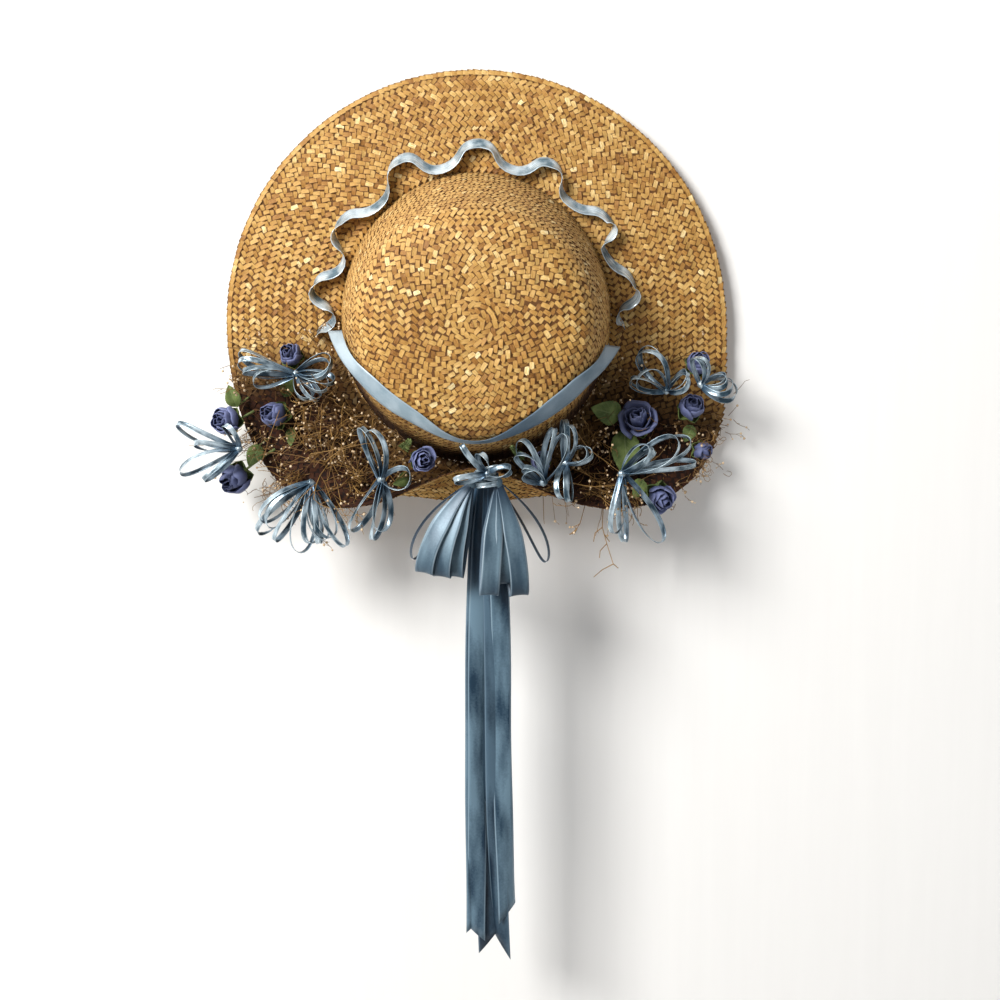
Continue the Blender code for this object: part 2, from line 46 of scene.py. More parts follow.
# Cloth and ribbons: width, wall, how far they stand off, in millimetres, and how many parts
NARROW_SATIN = 3.7
RIBBON_APART = 1.0
SATIN_THICKNESS = 0.3
CLOTH_WALL = 0.35
CLOTH_LIFT = 1.3
BAND_COLUMNS = 6
PETAL_ROWS = 9

# Main shapes, after the solids, in millimetres and degrees
GAP = 0.3
BRIM_RADIUS = 177.0
CROWN_HALF_WIDTH = 95.0
CROWN_HALF_LENGTH = 102.0
CROWN_RAISED = 4.0
STRAW_WALL = 2.4
PEG_UP = CROWN_RAISED + CROWN_HALF_LENGTH - GAP - STRAW_WALL
ROLL_ANGLE = math.radians(135)
ROLL_REACH = math.radians(62)
ROLL_POWER = 1.65
ROLL_START = 5.6
ROLL_TRAVEL = 42.0
DROOP = 0.1
FLARES = [(60, 16, 14.0), (-60, 14, 4.0)]
CROWN_PROFILE = [
    # forward, share of the half width, share of the half length
    (-1.2, 1.0, 1.0), (12, 0.985, 0.975), (30, 0.96, 0.93), (50, 0.93, 0.87), (66, 0.895, 0.812),
    (77, 0.85, 0.75), (85, 0.76, 0.65), (90, 0.6, 0.5), (92.5, 0.3, 0.26), (93, 0.0, 0.0),
]
WIDE_RIBBON = 13.0
WAVE_RIBBON = 9.0
WAVE_DROOP = math.radians(47)
CROWN_RIBBON = [
    # angle round from straight down, travel up the crown, how far its lower edge stands off
    (-86, 40, 9.0), (-80, 57, 7.0), (-72, 73, 5.0), (-63, 82, 3.0), (-53, 85.5, 2.0),
    (-43, 87, 1.0), (-33, 86.5, 0.0), (-24, 83.5, 0.0), (-15, 78.5, 0.0),
    (-5, 74.0, 0.0), (5, 74.0, 0.0), (15, 78.5, 0.0), (24, 82.5, 0.0), (34, 85, 0.0),
    (44, 86.5, 1.0), (54, 85, 2.0), (62, 82, 3.0), (69, 74, 5.0), (75, 62, 7.0), (80, 50, 9.0),
]
WAVE_TURNS = [
    # angle round from straight down, reach out from the crown
    (-84, 17.0), (-92.5, 5.0), (-102, 20.5), (-114, 6.0), (-125, 20.5), (-141, 7.2),
    (-155, 24.0), (-167, 7.4), (-181, 22.0), (-194, 7.4), (-206, 21.5), (-217, 7.0),
    (-234, 19.5), (-241, 6.2), (-259, 18.5), (-267, 5.0), (-274, 9.0),
]
STREAMER_TOP = -97.0
STREAMERS = [
    # across at the top, halfway and at the end, forward at the top and end, up at the cut corners
    ((12.0, 18.0, 21.6), (63.9, 62.9), (-413.0, -398.0)),
    ((9.5, 12.5, 18.3), (62.4, 61.2), (-419.0, -440.0)),
    ((6.5, 1.0, 0.6), (60.9, 59.5), (-416.5, -426.0)),
    ((7.5, 4.7, 8.2), (59.4, 57.8), (-437.0, -420.0)),
    ((4.5, -1.0, -0.9), (57.9, 56.1), (-421.5, -410.0)),
    ((10.5, 10.0, 12.5), (56.4, 54.4), (-405.0, -412.0)),
]
# How dark each streamer is along its whole length
STREAMER_SHADES = (0.0, 0.5, 0.05, 0.62, 0.2, 0.7)
BOW_CENTRE = (8.0, -101.0, 68.2)
# How far a bow's loop sets out sideways before it falls
BOW_SPREAD = 0.6
BOW_WRAPS = [
    # lift above the bow's centre, tilt, half width, half depth
    (6.5, 0.25, 7.6, 4.6), (2.0, -0.2, 8.4, 5.4), (-3.0, 0.12, 8.2, 6.2),
]
BOW_LOOPS = {
    "bow_left": (-1, [
        # tip across, up and forward, depth of the loop, width of the ribbon, turn (degrees)
        (-34.0, -164.0, 75.0, 9.0, 13.0, 68),
        (-22.3, -166.3, 76.0, 9.0, 12.0, 72),
        (-13.3, -167.0, 72.0, 7.0, 11.0, 74),
        (-42.0, -154.0, 74.0, 8.0, 5.0, 20),
    ]),
    "bow_right": (1, [
        (9.3, -178.0, 80.0, 7.0, 13.0, 100),
        (20.0, -171.5, 74.0, 8.0, 12.0, 104),
        (29.5, -179.0, 76.0, 9.0, 13.0, 108),
        (48.0, -156.0, 74.0, 8.0, 5.0, 160),
    ]),
}
ROSES = [
    # anchor angle, anchor reach, head across, up, forward, size, facing across, facing up, openness
    (-79.5, 34, -129.0, -19.8, 15, 21, -0.2, 0.45, 0.25),
    (-64.5, 58, -141.2, -61.4, 17, 25, -0.5, 0.25, 0.15),
    (-67.5, 74, -174.6, -66.0, 16, 25, -0.5, 0.2, 0.3),
    (-57.0, 72, -169.2, -107.0, 19, 27, -0.45, -0.35, 0.15),
    (-22.0, 6, -35.5, -89.0, 57, 20, 0.25, 0.1, 0.75),
    (24.5, 8, 44.6, -89.5, 55, 18, 0.1, 0.4, 0.3),
    (58.5, 34, 112.5, -63.9, 21, 28, -0.15, 0.6, 0.9),
    (79.5, 62, 154.2, -25.4, 15, 21, 0.2, 0.5, 0.3),
    (67.5, 66, 149.5, -55.8, 18, 23, 0.15, 0.7, 0.35),
    (59.5, 78, 159.0, -87.5, 12, 17, 0.9, -0.1, 0.2),
    (46.5, 74, 127.0, -116.8, 45, 24, 0.55, -0.5, 0.6),
]
LEAVES = [
    # name, anchor angle, anchor reach, base across, up, forward, tip across, up, forward, width
    ("leaf_1", -72.0, 46, -134.0, -50.0, 8, -128.0, -33.5, 13, 11),
    ("leaf_2", -71.0, 74, -168.0, -57.5, 5, -173.0, -42.0, 9, 12),
    ("leaf_3", -60.0, 70, -152.0, -84.0, 7, -159.5, -98.5, 11, 13),
    ("leaf_4", -58.0, 54, -129.5, -71.5, 8, -130.0, -84.5, 11, 8),
    ("leaf_5", 53.5, 22, 101.0, -62.5, 15, 80.0, -56.5, 25, 19),
    ("leaf_6", 49.0, 36, 103.0, -72.0, 17, 104.5, -105.0, 32, 22),
    ("leaf_7", -26.0, 34, -45.0, -103.0, 36, -56.0, -107.0, 47, 11),
    ("leaf_8", 44.5, 66, 116.0, -106.0, 30, 108.5, -117.0, 42, 12),
    ("leaf_9", 62.0, 74, 152.0, -70.5, 5, 146.0, -81.5, 9, 11),
    ("fern_1", -31.0, 4, -49.5, -83.0, 44, -43.0, -73.5, 70, 9),
    ("fern_2", 19.0, 4, 33.0, -90.0, 44, 24.0, -77.5, 74, 8),
]
LOOP_CLUSTERS = [
    # anchor angle, anchor reach, knot across, up, forward, each loop's tip, opening, turn (degrees)
    (-76.0, 30, -124.0, -33.0, 27, [
        (-163.0, -18.0, 24, 13, 35), (-160.0, -31.0, 30, 9, 60), (-99.0, -22.0, 30, 13, 30),
        (-97.0, -38.0, 33, 11, 50), (-108.0, -50.0, 36, 9, 40)]),
    (-61.5, 72, -163.0, -84.0, 35, [
        (-206.0, -67.0, 31, 10, 35), (-193.0, -80.0, 39, 8, 50), (-204.0, -101.0, 33, 11, 30),
        (-187.0, -105.0, 40, 9, 60), (-172.0, -67.0, 38, 8, 50)]),
    (-43.0, 79, -112.0, -105.0, 54, [
        (-149.0, -141.0, 46, 13, 35), (-137.0, -145.0, 54, 10, 60), (-120.0, -153.0, 54, 15, 20),
        (-106.0, -146.0, 60, 9, 60), (-88.0, -148.0, 58, 11, 50)]),
    (-31.0, 72, -63.0, -101.0, 70, [
        (-69.0, -142.0, 70, 10, 60), (-84.0, -136.0, 67, 9, 40), (-77.0, -66.0, 66, 9, 50),
        (-43.0, -100.0, 75, 13, 25)]),
    (0.0, 0, 8.0, -96.5, 75.2, [
        (-9.0, -76.0, 82, 6, 50), (5.0, -82.0, 84, 9, 20), (-14.0, -100.0, 83, 8, 30),
        (24.0, -94.0, 83, 9, 30)]),
    (25.0, 72, 46.0, -103.0, 68, [
        (30.0, -74.0, 72, 10, 30), (53.0, -66.0, 70, 9, 60), (33.0, -92.0, 74, 8, 40)]),
    (33.0, 30, 61.0, -91.0, 60, [
        (60.0, -61.0, 62, 8, 60), (79.0, -83.0, 60, 9, 30), (63.0, -116.0, 70, 8, 50)]),
    (67.0, 46, 131.0, -44.0, 31, [
        (116.0, -14.0, 26, 15, 30), (145.0, -31.0, 37, 9, 50), (106.0, -36.0, 35, 11, 40)]),
    (73.0, 66, 155.0, -40.0, 30, [
        (180.0, -45.0, 26, 13, 25), (172.0, -34.0, 33, 8, 50), (150.0, -21.0, 34, 9, 50)]),
    (38.0, 76, 99.0, -98.0, 61, [
        (146.0, -76.0, 48, 15, 30), (150.0, -92.0, 50, 11, 50), (102.0, -146.0, 52, 9, 60),
        (126.0, -144.0, 66, 12, 20), (121.0, -82.0, 60, 9, 60)]),
]

# Straw plait: each braid is two rows of cells that slant opposite ways
PLAIT_ROW = 4.1
SIDE_ROW = 3.3
CELL_STEP = 4.5
CELL_SLANT = math.radians(44)
CELL_TILT = math.radians(14)
# First row off the crown's foot, and what the brim's rows leave free in all
FIRST_ROW = 1.6
ROWS_FREE = 5.4
BRIM_ROWS = 20
# How far up the crown the closer rows go, and where its side piece ends
SIDE_ROWS_END = 78
SIDE_PIECE_END = 80
BACKING_WALL = 0.5
# Rows shorter than this, in millimetres, start the plait and lie looser
START_GIRTH = 110
PALE_CELLS = 0.05
DARK_CELLS = 0.08
STRAW_TONES = [
    (0.0, (0.17, 0.062, 0.01)), (0.25, (0.36, 0.168, 0.034)), (0.5, (0.5, 0.275, 0.068)),
    (0.75, (0.64, 0.4, 0.13)), (0.92, (0.8, 0.58, 0.25)), (1.0, (0.9, 0.76, 0.44)),
]

# Satin finishes
SATINS = [
    # name, dark (painted shade), light (painted highlight) and edge colours, how metallic, how rough,
    # changes of the painted light and dark per millimetre
    ("wide satin", (0.04, 0.078, 0.115), (0.142, 0.22, 0.278), (0.27, 0.35, 0.41), 0.18, 0.4, 0.016),
    ("streamer satin", (0.012, 0.036, 0.066), (0.14, 0.228, 0.297), (0.24, 0.34, 0.42),
     0.25, 0.33, 0.016),
    ("crown satin", (0.25, 0.34, 0.4), (0.4, 0.49, 0.55), (0.4, 0.49, 0.55), 0.25, 0.34, 0.02),
    ("wave satin", (0.12, 0.19, 0.24), (0.66, 0.76, 0.82), (0.6, 0.7, 0.76), 0.35, 0.26, 0.06),
    ("narrow satin", (0.035, 0.07, 0.1), (0.52, 0.63, 0.7), (0.45, 0.56, 0.62), 0.5, 0.26, 0.08),
]

# Dried flowers
SPRIGS = [
    # anchor angle, anchor reach, growing across, up, forward, length, number of stalks
    (-78, 40, -0.2, 0.5, 0.9, 34, 8), (-84, 18, 0.1, 0.3, 0.8, 26, 6),
    (-70, 14, 0.3, 0.1, 0.9, 40, 9), (-64, 26, 0.2, -0.1, 0.9, 46, 10),
    (-58, 44, -0.2, -0.3, 0.9, 44, 10), (-52, 14, 0.1, -0.2, 0.9, 46, 10),
    (-50, 34, 0.4, 0.1, 0.8, 50, 11), (-44, 50, 0.1, 0.3, 0.7, 50, 11),
    (-40, 28, 0.4, -0.2, 0.9, 46, 10), (-36, 54, 0.3, 0.3, 0.6, 44, 9),
    (-32, 22, 0.2, 0.0, 0.9, 46, 8), (-48, 66, -0.4, -0.3, 0.6, 40, 9),
    (-58, 70, -0.4, -0.6, 0.4, 40, 8), (-62, 54, -0.4, 0.0, 0.8, 36, 12),
    (-66, 40, -0.1, 0.2, 0.9, 34, 8),
    (-64, 66, -0.1, -0.2, 0.9, 36, 11), (-71, 54, 0.0, 0.1, 1.0, 32, 10),
    (-72, 66, -0.6, 0.5, 0.5, 30, 7), (-28, 60, 0.3, 0.3, 0.4, 32, 6),
    (-40, 72, 0.0, -0.5, 0.7, 34, 6), (-16, 10, 0.5, 0.2, 0.6, 24, 5),
    (6, 10, 0.5, 0.5, 0.6, 24, 5), (18, 30, 0.6, 0.2, 0.7, 34, 7),
    (28, 14, 0.2, 0.2, 0.9, 44, 8), (34, 30, 0.4, 0.4, 0.8, 46, 10),
    (38, 48, 0.5, -0.1, 0.8, 46, 10), (44, 18, 0.0, 0.1, 1.0, 48, 10),
    (48, 42, 0.1, -0.3, 0.9, 46, 10), (54, 16, -0.2, 0.2, 1.0, 46, 9),
    (60, 46, 0.3, 0.1, 0.8, 38, 8), (68, 18, -0.1, 0.3, 0.9, 40, 9),
    (76, 44, 0.3, 0.5, 0.8, 32, 7), (66, 72, 0.7, 0.0, 0.4, 30, 8),
    (58, 80, 0.6, -0.2, 0.4, 24, 7), (50, 80, 0.3, -0.4, 0.5, 22, 5),
    (32, 60, 0.5, -0.2, 0.5, 36, 7), (40, 66, 0.2, -0.4, 0.6, 30, 6),
]

CURLS = [
    # middle across, up, forward, spread, count
    (-143, -119, 18, 11, 20), (160, -80, 14, 8, 14), (157, -98, 14, 11, 12),
]

LONG_TWIGS = [
    # start across, up, forward, end across, up, forward
    (74, -124, 42, 76, -146, 48),
    (-150, -96, 20, -128, -66, 52), (-150, -70, 16, -118, -58, 40),
    (-92, -84, 40, -128, -112, 60), (-70, -70, 50, -96, -104, 66),
    (66, -66, 50, 88, -98, 62), (64, -104, 56, 96, -112, 66),
]

HANGING_TWIGS = [
    # points of each twig below the brim: across, up and forward
    [(86, -126, 42), (87, -137, 44), (90, -148, 46), (94.5, -162, 47)],
    [(94.5, -162, 47), (87, -166, 47), (81, -171, 48)],
    [(94.5, -162, 47), (98, -165, 47)],
    [(90, -148, 46), (85.5, -153, 46), (85, -158, 46)], [(88.5, -142, 45), (92, -147, 45)],
    [(87, -137, 44), (82, -141, 44), (81, -147, 44)],
]

# Steps round the hat at which the straw's places are kept
SAMPLE_TURNS = 72
# How far dried stalks stay off the crown and the brim, in millimetres, and the
# furthest back that they go, in metres
CROWN_CLEAR = 1.5
BRIM_CLEAR = 1.8
WALL_CLEAR = 0.003
# Below this height, in millimetres, twigs hang free of the brim
HANGS_FREE = -132

# The room, in metres
WALL_BACK = 0.0135
WALL_TOP = 2.4
FLOOR_UP = -1.6
# The camera: lens in millimetres, place in metres, and how far it looks down
LENS = 69.43
CAMERA_SPOT = (0.0167, -1.3545, -0.0489)
CAMERA_PITCH = math.radians(90 - 7.5)


# Places on the straw

def place(across, up, forward):
    """A point of the hat, from millimetres, in the part's own axes."""
    return Vector((across, -forward, up - PEG_UP)) * MM


def oval_radius(angle):
    return 1 / math.hypot(math.sin(angle) / CROWN_HALF_WIDTH, math.cos(angle) / CROWN_HALF_LENGTH)


def brim_width(angle):
    edge = BRIM_RADIUS
    turned = (math.degrees(angle) + 180) % 360 - 180
    for middle, spread, extra in FLARES:
        edge += extra * math.exp(-((turned - middle) / spread) ** 2)
    shift = CROWN_RAISED * math.sin(angle)
    return CROWN_RAISED * math.cos(angle) + math.sqrt(edge**2 - shift**2) - oval_radius(angle)


def roll_angle(angle):
    turned = (math.degrees(angle) + 180) % 360 - 180
    share = max(0.0, 1 - abs(math.radians(turned)) / ROLL_REACH)
    return ROLL_ANGLE * math.sin(math.pi / 2 * share) ** ROLL_POWER


def brim_point(angle, reach, lift=0.0):
    """A point on the brim: reach is measured along the straw and lift off the straw's middle."""
    full = roll_angle(angle)
    width = brim_width(angle)
    steps = max(2, int(reach / 2))
    outward = oval_radius(angle)
    forward = 0.0
    for step in range(steps + 1):
        travel = (step + 0.5) * reach / steps if step < steps else reach
        tilt = full * min(1.0, max(0.0, (travel - ROLL_START) / ROLL_TRAVEL))
        tilt -= DROOP * (1 - full / ROLL_ANGLE) * travel / width
        if step < steps:
            outward += math.cos(tilt) * reach / steps
            forward += math.sin(tilt) * reach / steps
    outward -= math.sin(tilt) * lift
    forward += math.cos(tilt) * lift
    return place(outward * math.sin(angle), CROWN_RAISED - outward * math.cos(angle), forward)


def profile_travel():
    mean = (CROWN_HALF_WIDTH + CROWN_HALF_LENGTH) / 2
    travels = [0.0]
    for low, high in zip(CROWN_PROFILE, CROWN_PROFILE[1:]):
        inward = mean * (low[1] + low[2] - high[1] - high[2]) / 2
        travels.append(travels[-1] + math.hypot(inward, high[0] - low[0]))
    return travels


PROFILE_TRAVEL = profile_travel()
CROWN_TRAVEL = PROFILE_TRAVEL[-1]


def smooth_row(travel):
    """The crown's forward distance and its two shares, on a smooth line through the profile."""
    travel = min(max(travel, 0.0), CROWN_TRAVEL)
    last = len(CROWN_PROFILE) - 1
    for index in range(last):
        if travel <= PROFILE_TRAVEL[index + 1]:
            break
    start, end = PROFILE_TRAVEL[index], PROFILE_TRAVEL[index + 1]
    share = (travel - start) / (end - start)

    def slope(at, item):
        low, high = max(0, at - 1), min(last, at + 1)
        rise = CROWN_PROFILE[high][item] - CROWN_PROFILE[low][item]
        return rise / (PROFILE_TRAVEL[high] - PROFILE_TRAVEL[low]) * (end - start)

    row = []
    for item in range(3):
        low, high = CROWN_PROFILE[index][item], CROWN_PROFILE[index + 1][item]
        first, second = slope(index, item), slope(index + 1, item)
        if item == 0 and index + 1 == last:
            second = 0.0
        row.append((2 * share**3 - 3 * share**2 + 1) * low + (share**3 - 2 * share**2 + share) * first
                   + (3 * share**2 - 2 * share**3) * high + (share**3 - share**2) * second)
    return row


def crown_point(angle, travel, lift=0.0):
    """A point on the crown's outer face, or off it by lift along its slope."""
    radius = oval_radius(angle) - GAP
    slopes = []
    for at in (travel - 2, travel, travel + 2):
        forward, wide, long = smooth_row(at)
        share = wide * math.sin(angle) ** 2 + long * math.cos(angle) ** 2
        slopes.append((radius * share, forward))
    run = slopes[2][0] - slopes[0][0]
    rise = slopes[2][1] - slopes[0][1]
    size = math.hypot(run, rise) or 1.0
    outward = slopes[1][0] + lift * rise / size
    forward = slopes[1][1] - lift * run / size
    return place(outward * math.sin(angle), CROWN_RAISED - outward * math.cos(angle), forward)


def surface_frame(point, angle, reach):
    """The middle, the way out, the way along a row, and the facing of a surface at a point."""
    middle = point(angle, reach)
    out = (point(angle, reach + 1) - point(angle, reach - 1)).normalized()
    along = (point(angle + 0.01, reach) - point(angle - 0.01, reach)).normalized()
    along = (along - out * along.dot(out)).normalized()
    facing = out.cross(along).normalized()
    if facing.dot(point(angle, reach, 3.0) - middle) < 0:
        facing.negate()
    return middle, out, along, facing


# Shares and shades

def ramp(value, low, high):
    """0 at low, 1 at high, and a smooth rise between; low may be the larger."""
    share = min(1.0, max(0.0, (value - low) / (high - low)))
    return share * share * (3 - 2 * share)


def there_and_back(share):
    """0 at both ends of a loop and 1 at its tip."""
    return (1 - math.cos(TAU * share)) / 2


def off_centre(angle):
    """How many degrees an angle is from straight down."""
    return abs((math.degrees(angle) + 180) % 360 - 180)


def brim_shade(angle, reach):
    """Painted shade on the straw: darker where the flowers cover it and inside the roll."""
    unshaded_angle, shaded_angle = (88, 68) if math.sin(angle) < 0 else (82, 58)
    return 0.98 * ramp(off_centre(angle), unshaded_angle, shaded_angle) * (0.75 + 0.25 * ramp(reach, 10, 30))


# Painted shade on the crown's lower side, near its foot behind the flowers.
def crown_shade(angle, travel):
    return 0.94 * ramp(off_centre(angle), 84, 60) * ramp(travel, 68, 34)


def bow_dim(share):
    """Painted shade on a bow's loop: dark by its knot, on its way back behind, and where it turns at its
    tip.
    """
    out = there_and_back(share)
    return max(0.9 * ramp(out, 0.4, 0.04), 0.55 * ramp(out, 0.78, 1.0),
               0.75 * ramp(share, 0.52, 0.6))


def thin_dim(share):
    """The bow's thin side loops are dark all along."""
    return 0.9


def loop_dim(share):
    """Painted shade on a narrow loop: dark by its knot and a little darker on its way back."""
    return max(0.92 * ramp(there_and_back(share), 0.62, 0.08), 0.45 * ramp(share, 0.5, 0.56))


def streamer_dim(share):
    """A streamer is dark at the top, in the shadow of the bow."""
    return 0.88 * ramp(share, 0.29, 0.2)


# Node trees

class Value:
    """An output of a node; sums on it add Math nodes."""

    def __init__(self, net, socket):
        self.net, self.socket = net, socket

    def math(self, operation, *others):
        values = {0: self}
        values.update({index + 1: other for index, other in enumerate(others)})
        return self.net.node("ShaderNodeMath", {"operation": operation}, values)

    def __add__(self, other):
        return self.math("ADD", other)

    def __mul__(self, other):
        return self.math("MULTIPLY", other)

    def __sub__(self, other):
        return self.math("SUBTRACT", other)

    def __truediv__(self, other):
        return self.math("DIVIDE", other)

    def __pow__(self, other):
        return self.math("POWER", other)

    def __rsub__(self, other):
        return self.net.node("ShaderNodeMath", {"operation": "SUBTRACT"}, {0: other, 1: self})

    __radd__ = __add__
    __rmul__ = __mul__

    def clamped(self, low=0.0, high=1.0):
        return self.math("MAXIMUM", low).math("MINIMUM", high)

    def step(self, low, high):
        """0 below low, 1 above high, and a smooth rise between."""
        return self.net.node("ShaderNodeMapRange", {"interpolation_type": "SMOOTHSTEP"},
                             {0: self, 1: low, 2: high, 3: 0.0, 4: 1.0})


class Net:
    """A node tree that is being written."""

    def __init__(self, tree):
        self.tree = tree

    def node(self, kind, settings=None, values=None, out=0):
        node = self.tree.nodes.new(kind)
        for key, value in (settings or {}).items():
            if key == "stops":
                elements = node.color_ramp.elements
                while len(elements) < len(value):
                    elements.new(0.5)
                for element, (position, colour) in zip(elements, value):
                    element.position = position
                    element.color = (*colour, 1.0)
            else:
                setattr(node, key, value)
        for key, value in (values or {}).items():
            if isinstance(value, Value):
                self.tree.links.new(value.socket, node.inputs[key])
            else:
                node.inputs[key].default_value = value
        return Value(self, node.outputs[out])

    def also(self, value, out):
        """Another output of the node that a value comes from."""
        return Value(self, value.socket.node.outputs[out])

    def mix(self, share, low, high, blend="MIX"):
        low = (*low, 1.0) if isinstance(low, tuple) else low
        high = (*high, 1.0) if isinstance(high, tuple) else high
        return self.node("ShaderNodeMix", {"data_type": "RGBA", "blend_type": blend},
                         {0: share, 6: low, 7: high}, out=2)

    def noise(self, place, scale, detail=2.0, roughness=0.5, stretch=(1.0, 1.0, 1.0)):
        if stretch != (1.0, 1.0, 1.0):
            place = self.node("ShaderNodeMapping", {}, {0: place, 3: stretch})
        return self.node("ShaderNodeTexNoise", {}, {
            "Vector": place, "Scale": scale, "Detail": detail, "Roughness": roughness})

    def attribute(self, name, out="Fac"):
        return self.node("ShaderNodeAttribute", {"attribute_name": name}, {}, out)

    def spot(self):
        """The place on the piece, in metres."""
        return self.node("ShaderNodeTexCoord", out="Object")

    def uv(self):
        return self.node("ShaderNodeUVMap", {"uv_map": "UVMap"})

    def split(self, vector):
        """The three parts of a vector."""
        first = self.node("ShaderNodeSeparateXYZ", {}, {0: vector})
        return first, self.also(first, 1), self.also(first, 2)

    def vector(self, *parts):
        return self.node("ShaderNodeCombineXYZ", {}, dict(enumerate(parts)))

    def tinted(self, colour, share, tint):
        """A colour times a tint, as far as share says."""
        return self.mix(1.0, colour, self.mix(share, (1.0, 1.0, 1.0), tint), "MULTIPLY")

    def bump(self, strength, distance, height):
        return self.node("ShaderNodeBump", {}, {
            "Strength": strength, "Distance": distance, "Height": height})


class Tree(Net):
    """A Geometry Nodes tree with named inputs."""

    def __init__(self, name, sockets):
        super().__init__(bpy.data.node_groups.new(name, "GeometryNodeTree"))
        face = self.tree.interface
        face.new_socket("Geometry", in_out="OUTPUT", socket_type="NodeSocketGeometry")
        face.new_socket("Geometry", in_out="INPUT", socket_type="NodeSocketGeometry")
        self.keys = {}
        for label, kind in sockets:
            item = face.new_socket(label, in_out="INPUT", socket_type="NodeSocket" + kind)
            self.keys[label] = item.identifier
        self.group = self.tree.nodes.new("NodeGroupInput")
        self.exit = self.tree.nodes.new("NodeGroupOutput")

    def given(self, label="Geometry"):
        return Value(self, self.group.outputs[label])

    def named(self, name, kind="FLOAT"):
        return self.node("GeometryNodeInputNamedAttribute", {"data_type": kind}, {"Name": name})

    def store(self, geometry, name, value, kind="FLOAT", domain="POINT"):
        return self.node("GeometryNodeStoreNamedAttribute", {"data_type": kind, "domain": domain},
                         {"Geometry": geometry, "Name": name, "Value": value})

    def close(self, geometry):
        """Realize the copies, set their material and end the tree."""
        solid = self.node("GeometryNodeRealizeInstances", {}, {"Geometry": geometry})
        painted = self.node("GeometryNodeSetMaterial", {},
                            {"Geometry": solid, "Material": self.given("Material")})
        self.tree.links.new(painted.socket, self.exit.inputs[0])


def plait_tree():
    """A straw cell on each point, laid along its strand, with the backing behind them, painted dark as
    the shade between the cells.
    """
    tree = Tree("straw plait", [("Cell", "Object"), ("Backing", "Object"), ("Size spread", "Float"),
                                ("Seed", "Int"), ("Material", "Material")])
    cell = tree.node("GeometryNodeObjectInfo", {}, {"Object": tree.given("Cell")}, "Geometry")
    backing = tree.node("GeometryNodeObjectInfo", {}, {"Object": tree.given("Backing")}, "Geometry")
    upright = tree.node("FunctionNodeAlignRotationToVector", {"axis": "Z"},
                        {"Vector": tree.named("facing", "FLOAT_VECTOR")})
    turned = tree.node("FunctionNodeAlignRotationToVector", {"axis": "X", "pivot_axis": "Z"},
                       {"Rotation": upright, "Vector": tree.named("strand", "FLOAT_VECTOR")})
    spread = tree.given("Size spread")
    size = tree.node("FunctionNodeRandomValue", {"data_type": "FLOAT"},
                     {2: 1 - spread, 3: 1 + spread, "Seed": tree.given("Seed")}, 1)
    size = size * tree.named("size")
    scale = tree.vector(size * tree.named("length"), size, tree.named("height"))
    copies = tree.node("GeometryNodeInstanceOnPoints", {}, {
        "Points": tree.given(), "Instance": cell, "Rotation": turned, "Scale": scale})
    both = tree.node("GeometryNodeJoinGeometry", {}, {0: copies})
    tree.tree.links.new(backing.socket, both.socket.node.inputs[0])
    tree.close(both)
    return tree


def band_tree():
    """A ribbon along each line of its input: its width runs along the attribute 'side'."""
    tree = Tree("ribbon", [("Curl", "Float"), ("Material", "Material")])
    curve = tree.node("GeometryNodeMeshToCurve", {}, {"Mesh": tree.given()})
    curve = tree.node("GeometryNodeSetCurveNormal", {"mode": "FREE"}, {
        "Curve": curve, "Normal": tree.named("side", "FLOAT_VECTOR")})
    half = tree.named("half")
    curve = tree.node("GeometryNodeSetCurveRadius", {}, {"Curve": curve, "Radius": half})
    travel = tree.node("GeometryNodeSplineParameter", {}, {}, "Length")
    curve = tree.store(curve, "travel", travel)
    line = tree.node("GeometryNodeCurvePrimitiveLine", {"mode": "POINTS"},
                     {"Start": (-1.0, 0.0, 0.0), "End": (1.0, 0.0, 0.0)})
    line = tree.node("GeometryNodeResampleCurve", {}, {"Curve": line, "Count": BAND_COLUMNS + 1})
    across = tree.split(tree.node("GeometryNodeInputPosition"))[0]
    bend = (1 - across * across) * tree.given("Curl")
    line = tree.node("GeometryNodeSetPosition", {}, {
        "Geometry": line, "Offset": tree.vector(0.0, bend)})
    line = tree.store(line, "across", across)
    band = tree.node("GeometryNodeCurveToMesh", {}, {
        "Curve": curve, "Profile Curve": line, "Scale": half})
    place_on = tree.vector(tree.named("travel") * 1000.0, tree.named("across"))
    band = tree.store(band, "UVMap", place_on, "FLOAT2", "CORNER")
    tree.close(tree.node("GeometryNodeSetShadeSmooth", {}, {"Geometry": band}))
    return tree


def stalk_tree():
    """A thin round stalk along each line of its input, as thick as its attribute 'thick'."""
    tree = Tree("stalk", [("Sides", "Int"), ("Material", "Material")])
    curve = tree.node("GeometryNodeMeshToCurve", {}, {"Mesh": tree.given()})
    ring = tree.node("GeometryNodeCurvePrimitiveCircle", {"mode": "RADIUS"},
                     {"Resolution": tree.given("Sides"), "Radius": 1.0})
    tube = tree.node("GeometryNodeCurveToMesh", {}, {
        "Curve": curve, "Profile Curve": ring, "Scale": tree.named("thick"), "Fill Caps": True})
    tree.close(tree.node("GeometryNodeSetShadeSmooth", {}, {"Geometry": tube}))
    return tree


